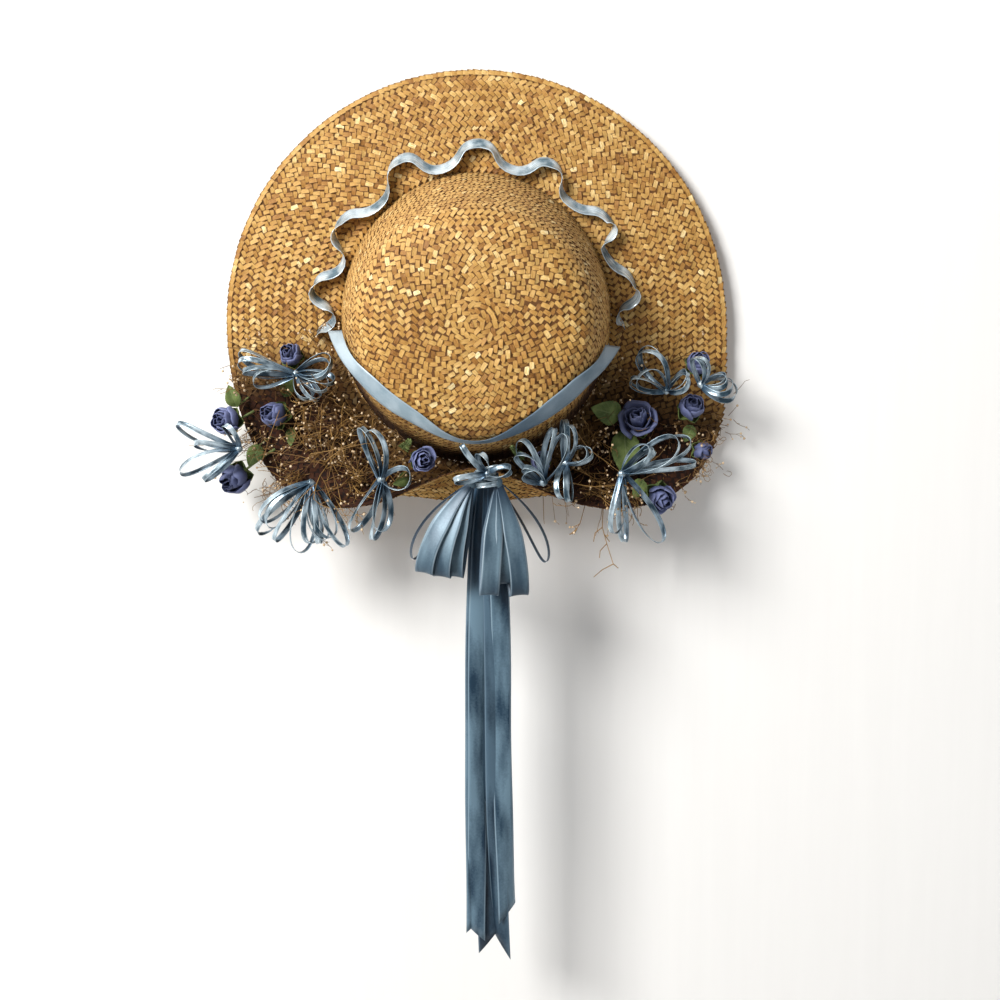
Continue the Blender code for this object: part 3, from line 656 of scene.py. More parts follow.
def bead_tree():
    """A small round bud on each point, as large as its attribute 'thick'."""
    tree = Tree("bud", [("Seed", "Int"), ("Material", "Material")])
    ball = tree.node("GeometryNodeMeshIcoSphere", {}, {"Radius": 1.0, "Subdivisions": 1})
    ball = tree.node("GeometryNodeSetShadeSmooth", {}, {"Geometry": ball})
    turn = tree.node("FunctionNodeRandomValue", {"data_type": "FLOAT_VECTOR"},
                     {0: (0.0, 0.0, 0.0), 1: (6.28, 6.28, 6.28), "Seed": tree.given("Seed")})
    rotation = tree.node("FunctionNodeEulerToRotation", {}, {0: turn})
    tone = tree.node("FunctionNodeRandomValue", {"data_type": "FLOAT"},
                     {2: 0.0, 3: 1.0, "Seed": tree.given("Seed")}, 1)
    scale = tree.named("thick")
    copies = tree.node("GeometryNodeInstanceOnPoints", {}, {
        "Points": tree.given(), "Instance": ball, "Rotation": rotation, "Scale": scale})
    copies = tree.store(copies, "tone", tone, "FLOAT", "INSTANCE")
    tree.close(copies)
    return tree


# Meshes and pieces

def point_mesh(name, points, edges=(), faces=(), **attributes):
    """A mesh with its attributes, one number or vector for each point."""
    mesh = bpy.data.meshes.new(name)
    mesh.from_pydata([tuple(point) for point in points], list(edges), list(faces))
    for key, values in attributes.items():
        vector = hasattr(values[0], "__len__")
        layer = mesh.attributes.new(key, "FLOAT_VECTOR" if vector else "FLOAT", "POINT")
        if vector:
            layer.data.foreach_set("vector", [number for value in values for number in value])
        else:
            layer.data.foreach_set("value", values)
    return mesh


def line_edges(lengths):
    """Edges along lines whose points follow each other in one list."""
    edges, start = [], 0
    for length in lengths:
        edges += [(start + index, start + index + 1) for index in range(length - 1)]
        start += length
    return edges


def grid_faces(rows, columns, start=0):
    """Faces of a grid of points that lie row by row from a first one."""
    faces = []
    for row in range(rows):
        for column in range(columns):
            a = start + row * (columns + 1) + column
            faces.append((a, a + 1, a + columns + 2, a + columns + 1))
    return faces


def new_object(name, mesh):
    item = bpy.data.objects.new(name, mesh)
    bpy.context.scene.collection.objects.link(item)
    return item


def grow(item, tree, inputs, wall=0.0):
    """Run a tree on an object and keep the result as its plain mesh, with a wall in millimetres."""
    live = item.modifiers.new("grow", "NODES")
    live.node_group = tree.tree
    for label, value in inputs.items():
        live[tree.keys[label]] = value
    if wall:
        thicken(item, wall)
    return bake(item)


def thicken(item, wall, offset=0.0):
    """Give a sheet a thickness in millimetres."""
    thick = item.modifiers.new("wall", "SOLIDIFY")
    thick.thickness = wall * MM
    thick.offset = offset


def bake(item):
    """Replace an object's mesh by the one that its modifiers give."""
    bpy.context.view_layer.update()
    made = bpy.data.meshes.new_from_object(
        item.evaluated_get(bpy.context.evaluated_depsgraph_get()))
    item.modifiers.clear()
    old = item.data
    item.data = made
    made.name = item.name
    bpy.data.meshes.remove(old)
    return item


def discard(item):
    mesh = item.data
    bpy.data.objects.remove(item, do_unlink=True)
    bpy.data.meshes.remove(mesh)


def join(first, others):
    """Join meshes into the first object."""
    bpy.ops.object.select_all(action="DESELECT")
    for item in [first] + others:
        item.select_set(True)
    bpy.context.view_layer.objects.active = first
    bpy.ops.object.join()
    return first


def cloth_mesh(name, points, faces, uvs, material, wall, offset=0.0):
    """A sheet of cloth from its points, with its UV map and a thickness."""
    mesh = bpy.data.meshes.new(name)
    mesh.from_pydata([tuple(point) for point in points], [], faces)
    layer = mesh.uv_layers.new(name="UVMap")
    for loop in mesh.loops:
        layer.data[loop.index].uv = uvs[loop.vertex_index]
    mesh.materials.append(material)
    mesh.shade_smooth()
    item = new_object(name, mesh)
    thicken(item, wall, offset)
    return bake(item)


def finish_piece(item, slot, *nodes):
    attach(item, "root")
    if nodes:
        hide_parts(*nodes)
    return item


# Finishes

def new_material(name, constants=None):
    """A material with its shader's fixed values, and the tree that it is written in."""
    material = bpy.data.materials.new(name)
    material.use_nodes = True
    shader = material.node_tree.nodes["Principled BSDF"]
    for key, value in (constants or {}).items():
        shader.inputs[key].default_value = value
    return material, Net(material.node_tree), shader


def feed(net, shader, **links):
    """Link values to the shader's sockets; a name's underscores stand for spaces."""
    for key, value in links.items():
        net.tree.links.new(value.socket, shader.inputs[key.replace("_", " ")])


def straw_finish():
    """Straw: each strand has its own tone and threads along it; painted shade darkens the gap round it,
    and its upper face under the flowers and inside the roll.
    """
    material, net, shader = new_material("straw plait", {"Specular IOR Level": 0.35})
    tone, pale, shade = [net.attribute(name) for name in ("tone", "pale", "shade")]
    along, across, facing = net.split(net.attribute("fibre", "Vector"))
    patches = net.noise(net.spot(), 24.0, 2.0)
    threads = net.noise(net.vector(along * 1.1, across * 5.0, tone * 40.0), 1.0, 3.0, 0.65)
    share = (tone + (patches - 0.5) * 0.25 + (threads - 0.5) * 0.9).clamped()
    colour = net.node("ShaderNodeValToRGB", {"stops": STRAW_TONES}, {0: share})
    colour = net.mix(pale * 0.45, colour, (0.46, 0.28, 0.11))
    # Painted shade: a strand darkens towards its sides and ends, where it dips under its neighbours.
    edge = across.math("ABSOLUTE").step(0.62, 0.98).math(
        "MAXIMUM", along.math("ABSOLUTE").step(0.7, 1.0))
    colour = net.mix(edge * 0.9, colour, (0.08, 0.027, 0.005))
    # Painted shade from the 'shade' attribute, on the upper face only: under the flowers and inside the
    # roll.
    colour = net.tinted(colour, shade * facing.step(-0.2, 0.2), (0.062, 0.019, 0.007))
    rough = 0.52 - tone.step(0.55, 0.95) * 0.27 + (threads - 0.5) * 0.3
    rough = rough + pale * 0.2 + edge * 0.2 + shade * 0.4
    bump = net.bump(0.7, 0.0005, threads - along * along * 1.6 - across * across * 0.7)
    feed(net, shader, Base_Color=colour, Roughness=rough.clamped(0.22, 0.9), Normal=bump)
    return material


def satin_finish(name, dark, light, edge, metal, rough, run):
    """Satin: painted sheen, patches of painted highlight and painted shade, with a very fine cross rib
    and a pale woven edge.

    The painted light and dark change along the ribbon about once in 1 / run millimetres."""
    material, net, shader = new_material(name, {
        "Metallic": metal, "Sheen Weight": 0.1, "Sheen Roughness": 0.4,
        "Sheen Tint": (0.7, 0.85, 1.0, 1.0)})
    uv = net.uv()
    along, across = net.split(uv)[:2]
    spot = net.spot()
    rib = (along * 11.0).math("SINE")
    streaks = net.noise(uv, 1.0, 2.0, 0.6, (0.03, 4.0, 1.0))
    # Painted sheen: slow patches of painted highlight and painted shade along the ribbon.
    folds = net.noise(net.vector(along * run, across * 0.35, net.split(spot)[0] * 55.0), 1.0, 2.0, 0.5)
    grain = net.noise(spot, 700.0, 2.0)
    border = across.math("ABSOLUTE").step(0.82, 0.92)
    share = ((streaks - 0.5) * 0.2 + (folds - 0.5) * 4.2 + (grain - 0.5) * 0.5 + 0.5).clamped()
    colour = net.mix(border * 0.75, net.mix(share, dark, light), edge)
    # Painted shade from the 'dim' attribute: by the knots, at the top of the streamers and on the crown
    # ribbon; the bow's thin side loops are darkened all along.
    colour = net.tinted(colour, net.attribute("dim"), (0.055, 0.14, 0.23))
    bump = net.bump(0.2, 0.00025, rib * 0.06 + streaks * 0.12 + border)
    gloss = rough + (streaks - 0.5) * 0.16 + border * 0.12
    feed(net, shader, Base_Color=colour, Roughness=gloss.clamped(0.15, 0.9), Normal=bump)
    return material


def rose_finish():
    """Matt paper cloth: navy low on the petals and deep in the rose, which is painted shade, and pale
    violet at the petals' tops and rims, painted lighter still on the outer petals of open roses.
    """
    material, net, shader = new_material("rose cloth", {
        "Sheen Weight": 0.12, "Sheen Roughness": 0.5, "Sheen Tint": (0.7, 0.75, 1.0, 1.0)})
    height, rim = net.attribute("height"), net.attribute("rim")
    spot = net.spot()
    faded, cloud, grain = net.noise(spot, 19.0, 1.0), net.noise(spot, 110.0, 3.0), net.noise(spot, 1500.0)
    # Painted shade: navy where the petals are low and deep in the rose; painted light on the tops of the
    # outer petals of open roses.
    share = (height.step(0.1, 1.0) + (cloud - 0.5) * 1.4 + (faded - 0.5) * 1.6).clamped()
    colour = net.mix(share, (0.008, 0.01, 0.034), (0.066, 0.082, 0.185))
    colour = net.mix(height.step(0.95, 1.6), colour, (0.18, 0.21, 0.4))
    colour = net.mix(rim.step(0.6, 1.0) * 0.6, colour, (0.15, 0.175, 0.33))
    bump = net.bump(0.3, 0.0003, grain * 0.4 + cloud)
    feed(net, shader, Base_Color=colour, Roughness=(cloud * 0.3 + 0.5).clamped(), Normal=bump)
    return material


def leaf_finish():
    """Printed cloth leaf: a pale midrib and side veins on olive green."""
    material, net, shader = new_material("leaf cloth", {"Specular IOR Level": 0.3})
    along, across = net.split(net.uv())[:2]
    across = across.math("ABSOLUTE")
    rib = 1 - across.step(0.0, 0.1)
    side = ((along * 7.0 - across * 2.2).math("FRACT") - 0.5).math("ABSOLUTE")
    veins = rib.math("MAXIMUM", (1 - side.step(0.0, 0.12)) * 0.6)
    cloud = net.noise(net.spot(), 150.0, 3.0)
    colour = net.mix(cloud.step(0.3, 0.7), (0.075, 0.115, 0.03), (0.195, 0.255, 0.08))
    colour = net.mix(veins * 0.5, colour, (0.24, 0.29, 0.12))
    bump = net.bump(0.5, 0.0004, 1 - veins)
    feed(net, shader, Base_Color=colour, Roughness=(cloud * 0.25 + 0.55).clamped(), Normal=bump)
    return material


def dry_finish(name, dark, light):
    """Dried stalks or buds: brown to cream, uneven along their length."""
    material, net, shader = new_material(name)
    spot = net.spot()
    cloud, grain = net.noise(spot, 90.0), net.noise(spot, 900.0)
    colour = net.mix((net.attribute("tone") * 0.7 + (cloud - 0.3) * 0.8).clamped(), dark, light)
    bump = net.bump(0.4, 0.0002, grain)
    feed(net, shader, Base_Color=colour, Roughness=(grain * 0.3 + 0.5).clamped(), Normal=bump)
    return material


def wall_finish():
    """White painted wall, seen only from the front, that casts no shadow."""
    material, net, shader = new_material("painted wall", {"Roughness": 0.7})
    spot = net.spot()
    brushed = net.noise(spot, 6.0, 4.0, 0.6, (12.0, 12.0, 0.6))
    cloud = net.noise(spot, 2.0)
    colour = net.mix((brushed * 0.5 + cloud * 0.5).clamped(), (0.8, 0.79, 0.775), (0.9, 0.895, 0.88))
    feed(net, shader, Base_Color=colour, Normal=net.bump(0.15, 0.001, brushed))
    behind = net.node("ShaderNodeNewGeometry", out="Backfacing")
    shadow = net.node("ShaderNodeLightPath", out="Is Shadow Ray")
    clear = net.node("ShaderNodeBsdfTransparent")
    tree = material.node_tree
    both = tree.nodes.new("ShaderNodeMixShader")
    tree.links.new(behind.math("MAXIMUM", shadow).socket, both.inputs[0])
    tree.links.new(shader.outputs[0], both.inputs[1])
    tree.links.new(clear.socket, both.inputs[2])
    tree.links.new(both.outputs[0], tree.nodes["Material Output"].inputs["Surface"])
    return material


# Straw

def straw_cell():
    """One visible bit of a flat straw strand: a little arched, with sharp edges and square ends."""
    half_long, half_wide, half_thick = 3.35, 1.78, 0.9
    rings = [(-1.0, -1.0, 0.4), (-0.5, 0.0, 0.95), (0.5, 0.0, 0.95), (1.0, -1.0, 0.4)]
    around = [(0.0, 1.0), (0.96, 0.66), (0.96, -0.66), (0.0, -1.0), (-0.96, -0.66), (-0.96, 0.66)]
    points, fibre, faces = [], [], []
    for at, drop, thick in rings:
        for side, up in around:
            points.append((at * half_long * MM, side * half_wide * MM,
                           (up * thick + drop * (1 if up > 0 else -0.4)) * half_thick * MM))
            fibre.append((at, side, 1.0 if up > 0 else -1.0))
    for ring in range(3):
        for side in range(6):
            other = (side + 1) % 6
            a, b = 6 * ring + side, 6 * ring + other
            faces.append((a, a + 6, b + 6, b))
    faces += [(0, 1, 2, 3, 4, 5), (23, 22, 21, 20, 19, 18)]
    mesh = point_mesh("straw cell", points, (), faces, fibre=fibre)
    mesh.shade_smooth()
    shape = bmesh.new()
    shape.from_mesh(mesh)
    bmesh.ops.recalc_face_normals(shape, faces=shape.faces)
    for edge in shape.edges:
        low, high = sorted(corner.index for corner in edge.verts)
        if high - low == 6 and low % 6 not in (0, 3):
            edge.smooth = False
    shape.to_mesh(mesh)
    shape.free()
    return new_object("straw cell", mesh)


def backing_shell(name, point, reaches, sides, wall, shading):
    """A thin closed shell under the cells, painted dark as the shade between them."""
    points, shades, fibres = [], [], []
    for lift in (wall / 2, -wall / 2):
        for side in range(sides):
            angle = TAU * side / sides
            for share in reaches:
                points.append(point(angle, share, lift))
                shades.append(shading(angle, share))
                # Fibre values that put the whole shell in the strands' painted gap shade.
                fibres.append((1.0, 1.0, 1.0 if lift > 0 else -1.0))
    count = len(reaches)
    shell = sides * count
    faces = []
    for side in range(sides):
        other = (side + 1) % sides
        for step in range(count - 1):
            a, b = side * count + step, other * count + step
            faces.append((a, b, b + 1, a + 1))
            faces.append((shell + a + 1, shell + b + 1, shell + b, shell + a))
        for edge in (0, count - 1):
            a, b = side * count + edge, other * count + edge
            faces.append((a, b, shell + b, shell + a))
    mesh = point_mesh(name, points, (), faces, tone=[0.3] * len(points), shade=shades, fibre=fibres)
    shape = bmesh.new()
    shape.from_mesh(mesh)
    bmesh.ops.remove_doubles(shape, verts=shape.verts, dist=1e-6)
    bmesh.ops.recalc_face_normals(shape, faces=shape.faces)
    shape.to_mesh(mesh)
    shape.free()
    mesh.shade_smooth()
    return new_object(name, mesh)


def row_girth(point, row):
    """Length of one row round the hat."""
    sides = 48
    spots = [point(TAU * side / sides, row(TAU * side / sides)) for side in range(sides)]
    return sum((spots[side] - spots[side - 1]).length for side in range(sides)) / MM


def plait_points(point, rows, paleness, shading, size, seed, bound=False):
    """Where the cells of a plait go, row by row, with the way that each strand slants.

    With bound, the last row runs along the edge."""
    picks = random.Random(seed)
    names = ("facing", "strand", "tone", "length", "height", "pale", "shade", "size")
    spots, values = [], {name: [] for name in names}
    for index, row in rows:
        girth = row_girth(point, row)
        start = girth < START_GIRTH and size == 1.0
        binding = bound and index == rows[-1][0]
        count = max(3, round(girth / (CELL_STEP * size)))
        slant = CELL_SLANT if index % 2 else -CELL_SLANT
        if start or binding:
            slant *= 0.5 if start else 0.22
        lean = 0.1 if index % 2 else -0.1
        for number in range(count):
            angle = TAU * (number + index * 0.5 + picks.uniform(-0.13, 0.13)) / count
            middle, out, along, facing = surface_frame(point, angle, row(angle))
            turn = slant + picks.uniform(-0.14, 0.14) * (2 if start else 0.4 if binding else 1)
            strand = along * math.cos(turn) + out * math.sin(turn)
            tilt = (CELL_TILT + picks.uniform(-0.08, 0.08)) * (0.4 if binding else 1)
            strand = strand * math.cos(tilt) + facing * math.sin(tilt) * (1 if index % 2 else -1)
            roll = picks.gauss(0, 0.1)
            facing = (facing + out * lean).normalized()
            side = facing.cross(strand).normalized()
            spots.append(middle + facing * (picks.uniform(-0.15, 0.15) + lean * 1.5) * MM)
            values["facing"].append((facing * math.cos(roll) + side * math.sin(roll)).normalized())
            values["strand"].append(strand)
            tone = picks.gauss(0.5, 0.13)
            if picks.random() < PALE_CELLS:
                tone = picks.uniform(0.74, 0.96)
            elif picks.random() < DARK_CELLS:
                tone = picks.uniform(0.15, 0.32)
            values["tone"].append(min(1.0, max(0.0, tone)))
            values["length"].append(picks.uniform(0.94, 1.14) * (1.2 if start else 1.0))
            values["height"].append(picks.uniform(0.85, 1.15))
            values["pale"].append(paleness(angle, row(angle)))
            values["shade"].append(shading(angle, row(angle)))
            values["size"].append(size * picks.uniform(0.97, 1.08))
    return point_mesh("plait", spots, **values)


def make_straw(plait, straw):
    cell = straw_cell()
    inner = STRAW_WALL / 2

    def brim_face(angle, reach, lift=0.0):
        return brim_point(angle, max(0.0, reach), lift)

    def brim_row(index):
        return lambda angle: FIRST_ROW + (brim_width(angle) - ROWS_FREE) * index / (BRIM_ROWS - 1)

    def crown_face(angle, travel, lift=0.0):
        return crown_point(angle, travel, lift - inner)

    def crown_pale(angle, travel):
        return ramp(travel, 92, 76) * (0.55 + 0.45 * max(0.0, -math.cos(angle)))

    travels = [FIRST_ROW]
    while travels[-1] < CROWN_TRAVEL - 4.5:
        travels.append(travels[-1] + (SIDE_ROW if travels[-1] < SIDE_ROWS_END else PLAIT_ROW))
    side_rows = sum(travel < SIDE_PIECE_END for travel in travels)
    crown_rows = [(index, lambda angle, travel=travel: travel) for index, travel in enumerate(travels)]
    mid = travels[side_rows]
    side_reaches = [0.0] + [mid * (step + 0.6) / 21 for step in range(20)] + [mid]
    tip_reaches = [mid + (CROWN_TRAVEL - mid) * step / 24 for step in range(25)]

    def brim_shell(angle, share, lift):
        return brim_point(angle, share * brim_width(angle), lift)

    backings = [
        ("brim_weave", "brim", brim_face, [(index, brim_row(index)) for index in range(BRIM_ROWS)],
         1.0, backing_shell("brim backing", brim_shell,
                            [0.0] + [0.015 + 0.95 * step / 26 for step in range(27)], 144, BACKING_WALL,
                            lambda angle, share: brim_shade(angle, share * brim_width(angle)))),
        ("crown_weave", "crown", crown_face, crown_rows[:side_rows], SIDE_ROW / PLAIT_ROW,
         backing_shell("side backing", crown_face, side_reaches, 96, BACKING_WALL, crown_shade)),
        ("crown_tip_weave", "crown", crown_face, crown_rows[side_rows:], 1.0,
         backing_shell("tip backing", crown_face, tip_reaches, 96, BACKING_WALL, crown_shade)),
    ]
    for seed, (name, node, face, rows, size, backing) in enumerate(backings, 11):
        on_brim = node == "brim"
        mesh = plait_points(face, rows, (lambda angle, reach: 0.0) if on_brim else crown_pale,
                            brim_shade if on_brim else crown_shade, size, seed, on_brim)
        piece = grow(new_object(name, mesh), plait, {
            "Cell": cell, "Backing": backing, "Size spread": 0.03, "Seed": seed, "Material": straw})
        discard(backing)
        finish_piece(piece, "straw", node)
    discard(cell)


# Ribbons

def band_mesh(name, bands, dim=None):
    """Lines for the ribbon tree: each band is rows of a point, its width's direction and width.

    dim gives how dark the ribbon is for a share of its length."""
    points, sides, halves, dims = [], [], [], []
    for band in bands:
        for index, (middle, side, width) in enumerate(band):
            points.append(middle)
            sides.append(side)
            halves.append(width / 2 * MM)
            dims.append(dim(index / (len(band) - 1)) if dim else 0.0)
    return point_mesh(name, points, line_edges(map(len, bands)), (), side=sides, half=halves, dim=dims)


def make_band(name, bands, tree, material, curl=0.12, wall=SATIN_THICKNESS, dim=None):
    item = new_object(name, band_mesh(name, bands, dim))
    return grow(item, tree, {"Curl": curl, "Material": material}, wall)


def square_to_path(band):
    """Turn each width direction square to the path."""
    done = []
    for index, (middle, side, width) in enumerate(band):
        before = band[max(0, index - 1)][0]
        after = band[min(len(band) - 1, index + 1)][0]
        along = (after - before).normalized()
        side = (side - along * side.dot(along)).normalized()
        done.append((middle, side, width))
    return done


def band_length(band):
    return sum((b[0] - a[0]).length for a, b in zip(band, band[1:]))


def loop_band(knot, tip, opening, turn, width, gather, spread=0.0, steps=30, picks=None):
    """A ribbon that leaves its knot, opens into a drop-shaped loop and comes back.

    With spread it sets out sideways and then falls, so that the loop hangs more upright."""
    along = tip - knot
    length = along.length
    along.normalize()
    toward = Vector((0, -1, 0))
    flat = along.cross(toward).normalized()
    facing = flat.cross(along).normalized()
    side = flat * math.cos(turn) + facing * math.sin(turn)
    fall = Vector((tip.x - knot.x, 0, 0)) * spread
    sway = picks.uniform(-0.1, 0.1) * length if picks else 0.0
    twist = picks.uniform(-1.1, 1.1) if picks else 0.0
    bend = picks.uniform(-0.2, 0.2) * length if picks else 0.0
    band = []
    for step in range(steps + 1):
        share = step / steps
        out = there_and_back(share)
        swing = opening * 0.77 * math.sin(TAU * share) * out**0.5 * MM
        apart = RIBBON_APART * math.cos(math.pi * share) * MM
        across = (along * length + fall * (1 - 2 * out)).cross(side).normalized()
        middle = knot + along * length * out + fall * out * (1 - out) + side * (swing + apart)
        middle = middle + across * sway * math.sin(math.pi * share) * (share - 0.5) * 2
        middle = middle + flat * bend * out * (1 - out)
        wide = width * min(1.0, gather + (1 - gather) * out * 2.2)
        turned = twist * math.sin(TAU * share)
        band.append((middle, across * math.cos(turned) + side * math.sin(turned), wide))
    return square_to_path(band)


def make_knot(name, middle, size, material, wraps):
    """A wrapped satin knot: a stretched ball with folds across it."""
    shape = bmesh.new()
    bmesh.ops.create_uvsphere(shape, u_segments=28, v_segments=16, radius=1.0)
    for corner in shape.verts:
        fold = (1 + 0.07 * math.cos(corner.co.x * wraps)
                + 0.05 * math.cos(corner.co.x * wraps * 2.3 + 1))
        spot = Vector((corner.co.x, corner.co.y * fold, corner.co.z * fold))
        corner.co = middle + Vector((spot.x * size[0], spot.y * size[1], spot.z * size[2])) * MM
    layer = shape.loops.layers.uv.new("UVMap")
    for face in shape.faces:
        for loop in face.loops:
            off = (loop.vert.co - middle) / MM
            loop[layer].uv = (off.z * 2, off.x / size[0] * 0.7)
    mesh = bpy.data.meshes.new(name)
    shape.to_mesh(mesh)
    shape.free()
    mesh.materials.append(material)
    mesh.shade_smooth()
    return new_object(name, mesh)


def smooth_rows(table, parts):
    """Rows on a smooth line through a table's rows, with some parts between each two."""
    rows = []
    last = len(table) - 1
    for index in range(last):
        before, here = table[max(0, index - 1)], table[index]
        after, later = table[index + 1], table[min(last, index + 2)]
        for step in range(parts):
            share = step / parts
            rows.append([0.5 * (2 * b + (c - a) * share + (2 * a - 5 * b + 4 * c - d) * share**2
                                + (3 * b - a - 3 * c + d) * share**3)
                         for a, b, c, d in zip(before, here, after, later)])
    rows.append(table[-1])
    return rows


def make_crown_ribbon(satin):
    """The wide ribbon over the crown, tucked under its lower edge in the middle."""
    rows = smooth_rows(CROWN_RIBBON, 4)
    columns = 8
    points, uvs = [], []
    travel_on, before = 0.0, None
    for angle, travel, stand in rows:
        middle = crown_point(math.radians(angle), travel, GAP + CLOTH_LIFT)
        travel_on += (middle - before).length / MM if before else 0.0
        before = middle
        for column in range(columns + 1):
            side = column / columns * 2 - 1
            off = GAP + CLOTH_LIFT + stand * (1 - side) / 2
            tucked = 0.72 * math.exp(-(off_centre(math.radians(angle)) / 26) ** 2)
            down = travel + (side * (1 - tucked) + tucked) * WIDE_RIBBON / 2
            points.append(crown_point(math.radians(angle), down, off))
            uvs.append((travel_on, side))
    piece = cloth_mesh("satin_crown_ribbon", points, grid_faces(len(rows) - 1, columns), uvs, satin,
                       SATIN_THICKNESS)
    # Painted shade: the ribbon is darker at the bottom, where it tucks under, and towards the right, away
    # from the light.
    dims = piece.data.attributes.new("dim", "FLOAT", "POINT")
    for corner in piece.data.vertices:
        across = corner.co.x / MM
        dims.data[corner.index].value = (0.4 * ramp(abs(across - 8), 50, 10)
                                         + 0.55 * ramp(across, -30, 40))
    finish_piece(piece, "satin", "crown_ribbon")


def make_wave_ribbon(tree, satin):
    """The ribbon on its edge that waves round the upper foot of the crown."""
    rows = []
    for (angle_a, reach_a), (angle_b, reach_b) in zip(WAVE_TURNS, WAVE_TURNS[1:]):
        for step in range(10):
            share = step / 10
            swing = (1 - math.cos(math.pi * share)) / 2
            lag = 0.1 * math.sin(TAU * share)
            rows.append((math.radians(angle_a + (angle_b - angle_a) * (share + lag * 0.6)),
                         reach_a + (reach_b - reach_a) * swing))
    rows.append((math.radians(WAVE_TURNS[-1][0]), WAVE_TURNS[-1][1]))
    foot = STRAW_WALL / 2 + GAP + 0.3
    leaning = Vector((0, -math.cos(WAVE_DROOP), -math.sin(WAVE_DROOP)))
    lows = [brim_point(angle, reach, foot) for angle, reach in rows]
    band = []
    for index, low in enumerate(lows):
        along = (lows[min(len(lows) - 1, index + 1)] - lows[max(0, index - 1)]).normalized()
        upright = (leaning - along * leaning.dot(along)).normalized()
        band.append((low + upright * WAVE_RIBBON / 2 * MM, upright, WAVE_RIBBON))
    piece = make_band("satin_wave_ribbon", [band], tree, satin, 0.08)
    finish_piece(piece, "narrow_satin", "wave_ribbon")


def make_streamers(tree, satin):
    """The ribbon ends below the bow, each cut at a slant and waved a little."""
    picks = random.Random(21)
    steps, cut = 44, 4
    for number, (acrosses, forwards, corners) in enumerate(STREAMERS, 1):
        top, middle, end = acrosses
        base = STREAMER_SHADES[number - 1]
        band = []
        deepest = sum(corners) / 2
        phase = picks.uniform(0, TAU)
        for step in range(steps + 1):
            share = step / steps
            ease = share * share * (3 - 2 * share)
            near = math.sin(min(1.0, share * 2) * math.pi / 2)
            far = 1 - math.cos(max(0.0, share * 2 - 1) * math.pi / 2)
            across = top + (middle - top) * near + (end - middle) * far
            forward = forwards[0] + (forwards[1] - forwards[0]) * share
            width = WIDE_RIBBON * min(1.0, 0.55 + share * 3.6)
            up = STREAMER_TOP + (deepest - STREAMER_TOP) * share
            turn = 0.5 * math.sin(share * 7 + phase) * ease
            band.append((place(across, up, forward),
                         Vector((math.cos(turn), math.sin(turn), 0)), width))
        mesh = band_mesh("streamer", [square_to_path(band)],
                         lambda share: max(base, streamer_dim(share)))
        item = grow(new_object(f"satin_streamer_{number}", mesh), tree, {"Curl": 0.2, "Material": satin})
        low_end = place(0, STREAMER_TOP + (deepest - STREAMER_TOP) * (1 - cut / steps), 0).z
        slope = (corners[1] - corners[0]) / WIDE_RIBBON
        for corner in item.data.vertices:
            below = (low_end - corner.co.z) / (cut / steps * (STREAMER_TOP - deepest) * MM)
            corner.co.z += slope * (corner.co.x - end * MM) * min(1.0, max(0.0, below))
        thicken(item, SATIN_THICKNESS)
        bake(item)
        finish_piece(item, "satin", f"streamer_{number}")
        (STREAMER_TOP - deepest) * MM


def make_bow(tree, satin, silver):
    """The bow: two fans of loops, each gathered in a core, and a knot with three wraps."""
    across, up, forward = BOW_CENTRE
    for name, (side, loops) in BOW_LOOPS.items():
        knot = place(across + (7.5 if side > 0 else -10.0), up - 2.1, forward + 0.8)
        for number, (tip_across, tip_up, tip_forward, depth, width, turn) in enumerate(loops, 1):
            tip = place(tip_across, tip_up, tip_forward)
            thin = width < 10
            if thin:
                width *= 0.75
            band = loop_band(knot, tip, depth, math.radians(turn), width, 0.3, BOW_SPREAD, 40)
            piece = make_band(f"satin_{name}_loop_{number}", [band], tree, satin, 0.1,
                              dim=thin_dim if thin else bow_dim)
            finish_piece(piece, "narrow_satin" if thin else "satin", name)
            if not thin:
                band_length(band)
        core = make_knot(f"satin_{name}_core", knot, (3.0, 3.2, 4.2), satin, 6.0)
        finish_piece(core, "satin", name)
    wraps = []
    for lift, tilt, wide, deep in BOW_WRAPS:
        band = []
        for step in range(33):
            turn = TAU * step / 32
            middle = place(across + wide * math.cos(turn), up + lift + tilt * wide * math.cos(turn),
                           forward + 0.6 + deep * math.sin(turn))
            band.append((middle, Vector((-0.15, 0, 1)), 3.4))
        wraps.append(square_to_path(band))
    middle = place(across, up + 4.5, forward)
    knot = make_knot("satin_bow_knot", middle, (6.4, 4.4, 3.2), silver, 7.0)
    join(knot, [make_band("wraps", wraps, tree, silver, 0.3)])
    finish_piece(knot, "satin", "bow_knot")


